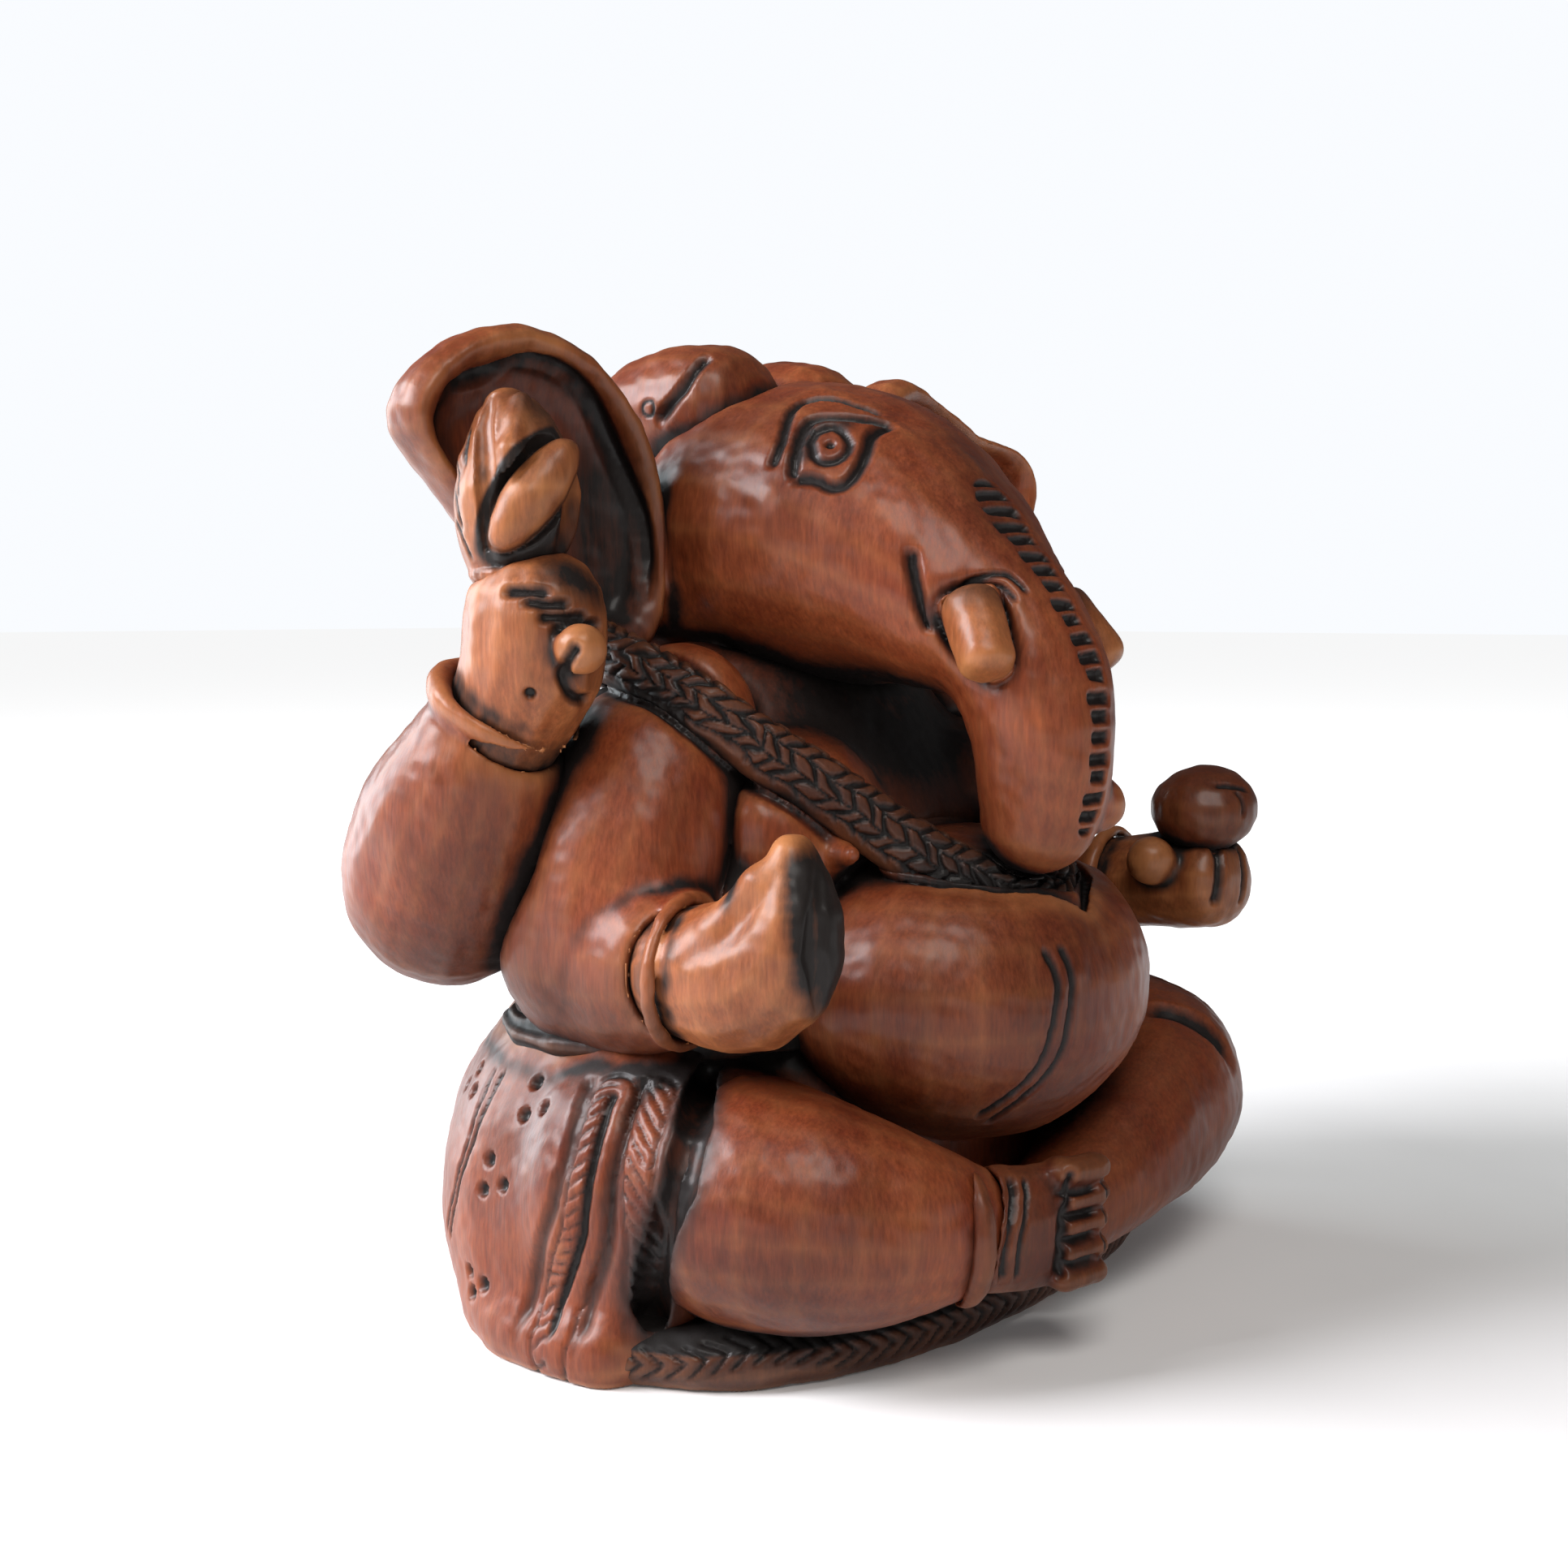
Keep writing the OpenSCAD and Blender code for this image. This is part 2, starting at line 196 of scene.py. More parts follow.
def sampled(field, low, voxel, points):
    """The field's value at each point, from its eight neighbours."""
    place = points / voxel - low
    place = np.clip(place, 0, np.array(field.shape) - 1.001)
    cell = place.astype(int)
    part = place - cell
    total = np.zeros(len(points))
    for corner in np.ndindex(2, 2, 2):
        share = np.prod(np.where(corner, part, 1 - part), axis=1)
        total += share * field[tuple((cell + corner).T)]
    return total


def smooth_min(a, b, blend):
    mix = np.clip(0.5 + 0.5 * (b - a) / blend, 0, 1)
    return b + (a - b) * mix - blend * mix * (1 - mix)


def smooth_max(a, b, blend):
    return -smooth_min(-a, -b, blend)


# ---- The whole figure, for painted shade in creases and between masses, and for worn edges ----


class Whole:
    """The distance field of all the pieces together, and how hollow or proud its surface is."""

    def __init__(self):
        low = np.floor(corner_mm(cad_low) / UNION_VOXEL).astype(int) - PAD
        high = np.ceil(corner_mm(cad_high) / UNION_VOXEL).astype(int) + PAD
        shape = tuple(int(n) for n in high - low + 1)
        field = np.full(shape, BAND * UNION_VOXEL, np.float32)
        for node in frame["nodes"]:
            points, corners = triangles_of(node)
            np.minimum(field, field_of(points, corners, UNION_VOXEL, low, shape), out=field)
        self.low = low
        self.field = field
        self.near = blurred(field, CREASE_BLUR)
        coarse = np.clip(field[::2, ::2, ::2], -1, 1)
        self.coarse_low = low / 2
        self.wide = blurred(coarse, SHELTER_BLUR)

    def depth(self, points):
        return sampled(self.field, self.low, UNION_VOXEL, points)

    def crease(self, points):
        """Above 0 in a crease and below 0 on an edge."""
        return self.depth(points) - sampled(self.near, self.low, UNION_VOXEL, points)

    def shelter(self, points):
        """About 0 on an open surface, and up to 1 deep between masses."""
        return -sampled(self.wide, self.coarse_low, UNION_VOXEL * 2, points)


whole = Whole()


class Ripple:
    """Smooth bumps of about 1 high, made of many waves with lengths between two sizes in mm."""

    def __init__(self, shortest, longest, count=30):
        ways = random.normal(size=(count, 3))
        ways /= np.linalg.norm(ways, axis=1, keepdims=True)
        lengths = random.uniform(shortest, longest, count)
        self.waves = (2 * np.pi * ways / lengths[:, None]).T
        self.starts = random.uniform(0, 2 * np.pi, count)

    def heights(self, points):
        total = np.zeros(len(points))
        for wave, start in zip(self.waves.T, self.starts):
            total += np.sin(points @ wave + start)
        return total / math.sqrt(len(self.starts) / 2)


KNIFE = Ripple(6, 15)
CHIPS = Ripple(1.6, 3.5)


# ---- A piece under the chisel ----


def curve(knots, step, closed):
    """A Catmull-Rom curve through some points, with a place every step or so."""
    if closed:
        knots = np.concatenate([knots[-1:], knots, knots[:2]])
    else:
        knots = np.concatenate([knots[:1], knots, knots[-1:]])
    line = []
    for i in range(1, len(knots) - 2):
        a, b, c, d = knots[i - 1 : i + 3]
        count = max(int(np.linalg.norm(c - b) / step), 1)
        for u in np.arange(count) / count:
            square = (2 * a - 5 * b + 4 * c - d) * u**2
            cube = (3 * b - a - 3 * c + d) * u**3
            line.append(0.5 * (2 * b + (c - a) * u + square + cube))
    line.append(knots[-2])
    return np.array(line)


def tree_of(points):
    tree = kdtree.KDTree(len(points))
    for i, place in enumerate(points):
        tree.insert(place, i)
    tree.balance()
    return tree


def run_along(line):
    return np.concatenate([[0], np.cumsum(np.linalg.norm(np.diff(line, axis=0), axis=1))])


class Carving:
    """One piece: first its field is shaped, then its mesh is cut with fine strokes."""

    def __init__(self, node, voxel=0.3, soft=0.55):
        self.node = node
        self.voxel = voxel
        points, corners = triangles_of(node)
        self.low, shape = grid_round(points, voxel)
        field = blurred(field_of(points, corners, voxel, self.low, shape), soft / voxel)
        self.field = field - TRIM
        self.join_neighbours()
        self.field = blurred(self.field, 0.7)

    def join_neighbours(self):
        """Lets the piece reach a little into its neighbours under the surface, so no gap shows."""
        near = np.abs(self.field) < 1.2
        cells = np.argwhere(near)
        points = (cells + self.low) * self.voxel
        under = whole.depth(points) + REACH_UNDER
        own = self.field[near]
        self.field[near] = np.minimum(own, np.maximum(own - REACH_OUT, under))

    def block(self, points, reach):
        """The part of the grid within reach of some points, as slices and as coordinates."""
        low = np.floor((points.min(0) - reach) / self.voxel).astype(int) - self.low
        high = np.ceil((points.max(0) + reach) / self.voxel).astype(int) - self.low + 1
        low = np.clip(low, 0, self.field.shape)
        high = np.clip(high, 0, self.field.shape)
        spans = [(np.arange(a, b) + s) * self.voxel for a, b, s in zip(low, high, self.low)]
        where = tuple(slice(a, b) for a, b in zip(low, high))
        return where, np.stack(np.meshgrid(*spans, indexing="ij"), -1)

    def merge(self, where, shape, blend, add):
        """Adds a shape to a part of the field, or cuts it away."""
        if add:
            self.field[where] = smooth_min(self.field[where], shape, blend)
        else:
            self.field[where] = smooth_max(self.field[where], -shape, blend)

    def gouge(self, points, radii, blend, add=False):
        """Cuts, or adds, a round-nosed rod through some points, with one radius or one for each point."""
        stations = list(zip(points, np.broadcast_to(radii, len(points))))
        for (a, ra), (b, rb) in zip(stations, stations[1:]):
            a = np.asarray(a, float)
            b = np.asarray(b, float)
            where, place = self.block(np.array([a, b]), max(ra, rb) + 2 * blend + 1)
            if place.size == 0:
                continue
            way = b - a
            along = np.clip((place - a) @ way / max(way @ way, 1e-9), 0, 1)
            away = np.linalg.norm(place - a - along[..., None] * way, axis=-1)
            self.merge(where, away - (ra + (rb - ra) * along), blend, add)

    def blob(self, centre, radii, blend, turn=None, add=True):
        """Adds, or cuts, an ellipsoid. The columns of turn are its axes."""
        centre = np.asarray(centre, float)
        radii = np.asarray(radii, float)
        where, place = self.block(centre[None], radii.max() + 2 * blend + 1)
        if place.size == 0:
            return
        local = place - centre
        if turn is not None:
            local = local @ turn
        scaled = np.linalg.norm(local / radii, axis=-1)
        slope = np.linalg.norm(local / radii**2, axis=-1)
        self.merge(where, scaled * (scaled - 1) / np.maximum(slope, 1e-6), blend, add)

    def rows(self, axis):
        """The places of the grid's cells along one axis."""
        return (np.arange(self.field.shape[axis]) + self.low[axis]) * self.voxel

    def neighbour(self, node, blur, trim):
        """Another piece's field on this piece's grid, blurred and trimmed."""
        points, corners = triangles_of(node)
        return blurred(field_of(points, corners, self.voxel, self.low, self.field.shape), blur) - trim

    def to_mesh(self):
        """Turns the field into a mesh that stays in the CAD's own box."""
        low = corner_mm(cad_low)
        high = corner_mm(cad_high)
        for axis in range(3):
            place = self.rows(axis)
            outside = np.maximum(low[axis] - place, place - high[axis]) + FIELD_INSIDE
            shape = [1, 1, 1]
            shape[axis] = -1
            np.maximum(self.field, outside.reshape(shape).astype(np.float32), out=self.field)
        limit = BAND * self.voxel
        grid = openvdb.FloatGrid(limit)
        grid.transform = openvdb.createLinearTransform(voxelSize=self.voxel)
        array = np.clip(self.field, -limit, limit)
        grid.copyFromArray(array, ijk=tuple(int(i) for i in self.low), tolerance=0)
        grid.gridClass = openvdb.GridClass.LEVEL_SET
        self.points, quads = grid.convertToQuads(0.0)
        self.points = self.points.astype(np.float64)
        self.quads = quads.astype(np.int32)[:, ::-1]
        self.normals = self.corner_normals()
        if np.sum(self.normals * (self.points - self.points.mean(0))) < 0:
            self.quads = self.quads[:, ::-1]
            self.normals = -self.normals
        self.raise_by = np.zeros(len(self.points))
        self.stain_and_shade = np.zeros(len(self.points))
        self.rubbed = np.zeros(len(self.points))
        self.crease_shade_share = np.ones(len(self.points))
        self.tree = tree_of(self.points)

    def corner_normals(self):
        a, b, c, d = (self.points[self.quads[:, k]] for k in range(4))
        face = np.cross(c - a, d - b)
        total = np.zeros_like(self.points)
        for k in range(4):
            for axis in range(3):
                total[:, axis] += np.bincount(self.quads[:, k], face[:, axis], len(self.points))
        return total / np.maximum(np.linalg.norm(total, axis=1, keepdims=True), 1e-12)

    def evened(self, values, rounds=4):
        """Values at the corners, each averaged with its neighbours."""
        corners = self.quads.ravel()
        count = np.maximum(np.bincount(corners, minlength=len(values)), 1)
        for _ in range(rounds):
            face = values[self.quads].mean(1)
            values = np.bincount(corners, np.repeat(face, 4), len(values)) / count
        return values

    # Strokes on the mesh

    def snapped(self, point):
        return self.tree.find(Vector(point))[1]

    def stroke(self, points, step=0.15, closed=False):
        """A smooth line on the surface through some points: its places, normals and run length."""
        line = curve(self.points[[self.snapped(p) for p in points]], step, closed)
        near = [self.snapped(p) for p in line]
        line = 0.35 * line + 0.65 * self.points[near]
        for _ in range(3):
            line[1:-1] = (line[:-2] + 2 * line[1:-1] + line[2:]) / 4
        return line, self.normals[near], run_along(line)

    def around(self, line, reach):
        """The corners within reach of a line, with how far along and across it each one lies."""
        places, normals, run = line
        low = places.min(0) - reach
        high = places.max(0) + reach
        ids = np.where(((self.points > low) & (self.points < high)).all(1))[0]
        if len(ids) == 0:
            return ids, ids, ids, ids
        nearest = np.empty(len(ids), int)
        away = np.empty(len(ids))
        for start in range(0, len(ids), CHUNK):
            part = ids[start : start + CHUNK]
            gaps = self.points[part, None] - places[None]
            gaps = np.einsum("ijk,ijk->ij", gaps, gaps)
            best = gaps.argmin(1)
            nearest[start : start + CHUNK] = best
            away[start : start + CHUNK] = np.sqrt(gaps[np.arange(len(part)), best])
        keep = (away < reach) & (np.einsum("ij,ij->i", self.normals[ids], normals[nearest]) > 0)
        ids, nearest, away = ids[keep], nearest[keep], away[keep]
        way = np.gradient(places, axis=0)
        way /= np.maximum(np.linalg.norm(way, axis=1, keepdims=True), 1e-9)
        gap = self.points[ids] - places[nearest]
        along = run[nearest] + np.einsum("ij,ij->i", gap, way[nearest])
        aside = np.cross(normals[nearest], way[nearest])
        across = np.sign(np.einsum("ij,ij->i", gap, aside)) * away
        return ids, along, across, away

    def groove(self, points, width=0.8, depth=0.5, stain_and_shade=1.0, taper=1.0, closed=False):
        """A V-shaped cut, darkened with stain, that runs out at its ends over the taper's length."""
        line = self.stroke(points, closed=closed)
        length = line[2][-1]
        ids, along, _, away = self.around(line, width)
        if len(ids) == 0:
            return
        ends = np.minimum(along, length - along) / taper
        strength = np.ones(len(ids)) if closed else np.clip(ends + 0.3, 0, 1)
        cut = ramp(away, 0.6 * width, 0) * strength
        self.raise_by[ids] = np.minimum(self.raise_by[ids], -depth * cut)
        ink = ramp(away, 0.6875 * width, 0.1375 * width) * strength * stain_and_shade
        self.stain_and_shade[ids] = np.maximum(self.stain_and_shade[ids], ink)

    def dimple(self, point, radius, depth):
        """A punched dot, dark inside."""
        centre = self.points[self.snapped(point)]
        away = np.linalg.norm(self.points - centre, axis=1)
        ids = np.where(away < radius * 1.3)[0]
        cut = np.clip(1.3 - away[ids] / radius, 0, 0.6) / 0.6
        self.raise_by[ids] -= depth * cut
        self.stain_and_shade[ids] = np.maximum(self.stain_and_shade[ids], cut)

    def band(self, points, reach, pattern, closed=False):
        """Works a pattern into a strip: pattern(along, across, length) gives (cut depth, stain)."""
        line = self.stroke(points, step=0.3, closed=closed)
        ids, along, across, _ = self.around(line, reach)
        if len(ids) == 0:
            return
        depth, stain_and_shade = pattern(along, across, line[2][-1])
        self.raise_by[ids] -= depth
        self.stain_and_shade[ids] = np.maximum(self.stain_and_shade[ids], stain_and_shade)

    def wound(self, points, pattern):
        """Works a pattern round a ring of rod: pattern(along, angle) gives (cut depth, stain)."""
        line = curve(np.array(points), 0.4, closed=True)
        run = run_along(line)
        way = np.gradient(line, axis=0)
        way /= np.linalg.norm(way, axis=1, keepdims=True)
        tree = tree_of(line)
        near = np.array([tree.find(place)[1] for place in self.points])
        gap = self.points - line[near]
        along = run[near] + np.einsum("ij,ij->i", gap, way[near])
        out = np.cross(way[near], [0.0, 0.0, 1.0])
        out /= np.maximum(np.linalg.norm(out, axis=1, keepdims=True), 1e-9)
        up = np.cross(out, way[near])
        angle = np.arctan2(np.einsum("ij,ij->i", gap, up), np.einsum("ij,ij->i", gap, out))
        depth, stain_and_shade = pattern(along, angle)
        self.raise_by -= depth
        self.stain_and_shade = np.maximum(self.stain_and_shade, stain_and_shade)

    def paint_shade(self, points, reach, amount):
        """Paints dark shade round a line of places, fading out at reach."""
        away = np.full(len(self.points), np.inf)
        for place in curve(np.array(points), 1.0, closed=False):
            away = np.minimum(away, np.linalg.norm(self.points - place, axis=1))
        ink = amount * ramp(away, reach, 2 / 7 * reach)
        self.stain_and_shade = 1 - (1 - self.stain_and_shade) * (1 - ink)

    def oval(self, point, wide, high, start=0, stop=360, count=14):
        """Points on an oval drawn on the surface round a point; 0 degrees is forwards, 90 is up."""
        i = self.snapped(point)
        normal = self.normals[i]
        up = unit(np.array([0, 0, 1]) - normal[2] * normal)
        front = unit(np.cross(up, normal))
        if front[1] > 0:
            front = -front
        angles = np.radians(np.linspace(start, stop, count))
        return [self.points[i] + front * wide * math.cos(a) + up * high * math.sin(a) for a in angles]

    def finish(self, material, slot):
        """Makes the piece in Blender, with its stain, its painted shade and its wear stored on its corners.
        """
        # Painted shade, together with the stain that gathers in crevices: darker where the surface sinks
        # under a neighbour, lies in a crease or is shut in between masses
        crease = whole.crease(self.points)
        sunk = ramp(whole.depth(self.points), -0.25, -0.75) * ramp(crease, -0.1, 0)
        hollow = ramp(crease, 0.02, 0.24)
        deep = ramp(whole.shelter(self.points), 0.06, 0.48)
        unshaded = (1 - 0.95 * sunk) * (1 - 0.9 * hollow) * (1 - 0.85 * deep)
        unshaded = 1 - (1 - self.evened(unshaded)) * self.crease_shade_share
        bare = 1 - np.clip(self.stain_and_shade, 0, 1)
        # The stored darkness holds the stain in the cuts together with the painted shade
        stain_and_shade = 1 - bare * unshaded
        wear = np.maximum(ramp(crease, 0, -0.35) * bare, self.rubbed)
        uneven = KNIFE_HEIGHT * KNIFE.heights(self.points) + CHIP_HEIGHT * CHIPS.heights(self.points)
        points = self.points + self.normals * (self.raise_by + uneven)[:, None]
        points = np.clip(points, corner_mm(cad_low) + INSIDE, corner_mm(cad_high) - INSIDE)
        mesh = bpy.data.meshes.new(self.node + "_carved")
        mesh.vertices.add(len(points))
        mesh.vertices.foreach_set("co", (points / MM).astype(np.float32).ravel())
        count = len(self.quads)
        mesh.loops.add(count * 4)
        mesh.loops.foreach_set("vertex_index", np.ascontiguousarray(self.quads).ravel())
        mesh.polygons.add(count)
        mesh.polygons.foreach_set("loop_start", np.arange(0, count * 4, 4, dtype=np.int32))
        mesh.polygons.foreach_set("use_smooth", np.ones(count, bool))
        mesh.update(calc_edges=True)
        for name, values in (("stain_and_shade", stain_and_shade), ("wear", wear)):
            layer = mesh.attributes.new(name, "FLOAT", "POINT")
            layer.data.foreach_set("value", values.astype(np.float32))
        mesh.materials.append(material)
        piece = bpy.data.objects.new(self.node + "_carved", mesh)
        bpy.context.scene.collection.objects.link(piece)
        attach(piece, "root")
        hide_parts(self.node)


# ---- Varnished wood ----


class Nodes:
    """Adds shader nodes to one material and links them."""

    def __init__(self, name):
        self.material = bpy.data.materials.new(name)
        self.material.use_nodes = True
        self.tree = self.material.node_tree
        self.tree.nodes.clear()

    def add(self, kind, inputs=(), **settings):
        made = self.tree.nodes.new(kind)
        for key, value in settings.items():
            setattr(made, key, value)
        for key, value in dict(inputs).items():
            self.put(made.inputs[key], value)
        return made

    def put(self, socket, value):
        if isinstance(value, bpy.types.NodeSocket):
            self.tree.links.new(value, socket)
        else:
            socket.default_value = value

    def maths(self, operation, a, b=0.0, clamp=False):
        made = self.add("ShaderNodeMath", operation=operation, use_clamp=clamp)
        self.put(made.inputs[0], a)
        self.put(made.inputs[1], b)
        return made.outputs[0]

    def blend(self, a, share_a, b, share_b):
        """The sum of two values, each times its share."""
        return self.maths("ADD", self.maths("MULTIPLY", a, share_a), self.maths("MULTIPLY", b, share_b))

    def noise(self, place, scale, detail=2.0, rough=0.5, warp=0.0):
        inputs = {"Vector": place, "Scale": scale, "Detail": detail, "Roughness": rough, "Distortion": warp}
        return self.add("ShaderNodeTexNoise", inputs).outputs["Fac"]

    def mixed(self, share, a, b, blend="MIX"):
        # The mix node's colour sockets come after its number and vector ones
        made = self.add("ShaderNodeMix", data_type="RGBA", blend_type=blend)
        self.put(made.inputs[0], share)
        self.put(made.inputs[6], a)
        self.put(made.inputs[7], b)
        return made.outputs[2]

    def span(self, value, low, high, to_low=0.0, to_high=1.0):
        made = self.add("ShaderNodeMapRange")
        for i, v in enumerate((value, low, high, to_low, to_high)):
            self.put(made.inputs[i], v)
        return made.outputs[0]


WORN = (0.42, 0.17, 0.06, 1)


def wood(name, base, light, dark, gloss, amber):
    """Stained, varnished hardwood: streaky grain, blotches, dark creases with painted shade, and rubbed
    edges.
    """
    n = Nodes(name)
    place = n.add("ShaderNodeTexCoord").outputs["Object"]
    stretch = n.add("ShaderNodeMapping", {"Vector": place, "Scale": (1, 1, 0.14), "Rotation": (0.1, 0.06, 0)})
    grain = n.noise(stretch.outputs[0], 900.0, 6.0, 0.65)
    fibre = n.noise(stretch.outputs[0], 2600.0, 3.0, 0.6)
    blotch = n.noise(place, 75.0, 4.0, 0.55, 0.6)
    cloud = n.noise(place, 28.0)
    stain_and_shade = n.add("ShaderNodeAttribute", attribute_name="stain_and_shade").outputs["Fac"]
    wear = n.add("ShaderNodeAttribute", attribute_name="wear").outputs["Fac"]
    tone = n.span(n.blend(grain, 0.45, blotch, 0.75), 0.42, 0.78)
    colour = n.mixed(tone, base, light)
    streak = n.span(fibre, 0.35, 0.7, 0.72, 1.12)
    shade = n.maths("MULTIPLY", streak, n.span(cloud, 0.35, 0.65, 0.6, 1.25))
    grey = n.add("ShaderNodeCombineColor", {"Red": shade, "Green": shade, "Blue": shade}).outputs[0]
    colour = n.mixed(1.0, colour, grey, "MULTIPLY")
    rubbed = n.maths("MULTIPLY", n.maths("MULTIPLY", wear, amber), n.span(blotch, 0.35, 0.65, 0.4, 1.0), True)
    colour = n.mixed(rubbed, colour, WORN)
    # The stored stain and painted shade darken the wood towards the dark colour, with a ragged edge from the
    # grain
    ragged = n.maths("ADD", stain_and_shade, n.span(grain, 0.3, 0.7, -0.14, 0.14))
    stain_and_shade_share = n.span(ragged, 0.12, 0.85)
    colour = n.mixed(stain_and_shade_share, colour, dark)
    rough = n.span(n.blend(blotch, 0.6, fibre, 0.4), 0.3, 0.7, 0.36, 0.54)
    rough = n.maths("ADD", rough, n.maths("MULTIPLY", stain_and_shade_share, 0.22))
    height = n.blend(grain, 0.6, fibre, 0.4)
    bump = n.add("ShaderNodeBump", {"Height": height, "Strength": 0.16, "Distance": 0.0004})
    shader = n.add(
        "ShaderNodeBsdfPrincipled",
        {
            "Base Color": colour,
            "Roughness": rough,
            "Normal": bump.outputs[0],
            "Coat Weight": gloss,
            "Coat Roughness": 0.27,
            "Coat IOR": 1.5,
            "IOR": 1.48,
            "Specular IOR Level": 0.25,
        },
    )
    out = n.add("ShaderNodeOutputMaterial")
    n.put(out.inputs["Surface"], shader.outputs[0])
    return n.material


# Each slot's darker and lighter wood, the colour of the stain in its cuts and of its painted shade, its gloss
# and how far its edges wear
WOODS = {
    "polished_wood": {
        "base": (0.12, 0.019, 0.006, 1),
        "light": (0.235, 0.054, 0.016, 1),
        "dark": (0.006, 0.0032, 0.0026, 1),
        "gloss": 0.2,
        "amber": 0.5,
    },
    # A lighter copy of the polished wood, standing in as painted highlight on the lit pieces
    "amber_wood": {
        "base": (0.17, 0.04, 0.012, 1),
        "light": (0.31, 0.1, 0.033, 1),
        "dark": (0.007, 0.004, 0.003, 1),
        "gloss": 0.2,
        "amber": 0.7,
    },
    "stained_wood": {
        "base": (0.05, 0.013, 0.007, 1),
        "light": (0.12, 0.034, 0.014, 1),
        "dark": (0.005, 0.0032, 0.0026, 1),
        "gloss": 0.15,
        "amber": 0.35,
    },
}
FINISHES = {slot: wood(slot, **look) for slot, look in WOODS.items()}
SLOTS = {row["node"]: row["material_slot"] for row in frame["record"]["subparts"]}


# ---- The pieces ----


def here(p):
    return p


def on(node, rows, side=here):
    """Several points given as fractions of a node's box."""
    return [side(at(node, *row)) for row in rows]


def done(work):
    slot = SLOTS[work.node]
    work.finish(FINISHES[slot], slot)


def carve_arm(node, voxel, soft):
    """An arm, with painted shade darkening it towards its lowest part."""
    work = Carving(node, voxel, soft)
    work.to_mesh()
    top = at(node, 0, 0, 0.4)[2]
    work.stain_and_shade = 0.42 * ramp(work.points[:, 2], top, top - 10)
    done(work)


# Head

BROW = [(0.07, 0.47, 0.79), (0.1, 0.47, 0.84), (0.21, 0.49, 0.92), (0.29, 0.46, 0.94), (0.34, 0.38, 0.91)]
UPPER_LID = [(0.07, 0.43, 0.77), (0.1, 0.44, 0.82), (0.18, 0.45, 0.89), (0.25, 0.4, 0.9), (0.33, 0.35, 0.89)]
LOWER_LID = [(0.07, 0.43, 0.77), (0.09, 0.4, 0.77), (0.11, 0.37, 0.75), (0.15, 0.35, 0.77), (0.2, 0.35, 0.82),
             (0.25, 0.36, 0.86), (0.33, 0.35, 0.89)]
MOUTH = [(0.16, 0.25, 0.63), (0.15, 0.24, 0.58), (0.16, 0.23, 0.52), (0.18, 0.22, 0.47)]
SOCKET = [(0.27, 0.21, 0.53), (0.23, 0.18, 0.56), (0.25, 0.15, 0.58), (0.3, 0.13, 0.58), (0.31, 0.1, 0.55)]
INNER_SOCKET = [(0.3, 0.2, 0.52), (0.29, 0.18, 0.54), (0.29, 0.15, 0.56), (0.28, 0.12, 0.55),
                (0.28, 0.11, 0.53)]
JAW_SHADE = [(0.32, 0.8, 0.46), (0.3, 0.55, 0.38), (0.36, 0.3, 0.38)]
TRUNK_FRONT = [(0.2, 0.72), (0.16, 0.66), (0.11, 0.58), (0.06, 0.5), (0.02, 0.41), (0.01, 0.32), (0.01, 0.22),
               (0.03, 0.11)]


def cut_eye(work, side):
    pupil = side(at("head", 0.16, 0.4, 0.84))
    work.groove(work.oval(pupil, 2.0, 2.5), 1.3, 0.6, closed=True)
    work.dimple(pupil, 0.5, 0.5)
    work.groove(on("head", LOWER_LID, side), 1.7, 0.9)
    work.groove(on("head", UPPER_LID, side), 1.6, 0.9)
    work.groove(on("head", BROW, side), 1.4, 0.8)
    # Painted shade round the top and back of the eye
    work.paint_shade(work.oval(pupil, 3.0, 3.8, 60, 200, 6), 1.6, 0.7)


def trunk_notches(along, across, length):
    """A ladder of short cuts, wider towards the brow, each one a little off its even place."""
    pitch = 2.15
    number = np.floor(along / pitch).astype(int)
    wobble = np.sin(number * 2.4)
    gap = np.abs(along - (number + 0.5 + 0.08 * wobble) * pitch)
    half = 1.7 + 1.5 * ramp(along, 0.35 * length, 0) + 0.25 * wobble
    cut = ramp(gap, 0.87, 0.27) * ramp(np.abs(across), half, half - 0.5)
    return 0.8 * cut, np.clip(1.8 * cut, 0, 1)


def carve_head():
    work = Carving("head", 0.29, 0.9)
    for side in (here, across_head):
        work.blob(side(at("head", 0.32, 0.72, 0.57)), (12, 9, 9), 3)
    work.to_mesh()
    for side in (here, across_head):
        cut_eye(work, side)
        work.groove(on("head", MOUTH, side), 1.9, 1.1, 0.95)
        work.groove(on("head", SOCKET, side), 0.9, 0.5, 0.9)
        work.groove(on("head", INNER_SOCKET, side), 0.8, 0.4, 0.9)
        work.paint_shade(on("head", JAW_SHADE, side), 7, 0.85)
    front = [at("head", 0.5, y, z) for y, z in TRUNK_FRONT]
    front = [(p + across_head(p)) / 2 for p in front]
    work.band(front, 4.5, trunk_notches)
    done(work)


def carve_tusk(node):
    """A tusk, darker where it comes out of the cheek."""
    work = Carving(node, 0.22, 0.9)
    work.field += 0.4
    work.to_mesh()
    root = at(node, 0, 0, 0.62)[2]
    work.stain_and_shade = 0.55 * ramp(work.points[:, 2], root, root + 3)
    done(work)


HAIR_FOLD = [(0.11, 0.18, 0.93), (0.06, 0.2, 0.87), (0.03, 0.23, 0.79), (0.02, 0.33, 0.68)]
HAIR_BACK = [(0.2, 0.45, 0.98), (0.15, 0.75, 0.85), (0.15, 0.95, 0.55), (0.2, 0.98, 0.2)]


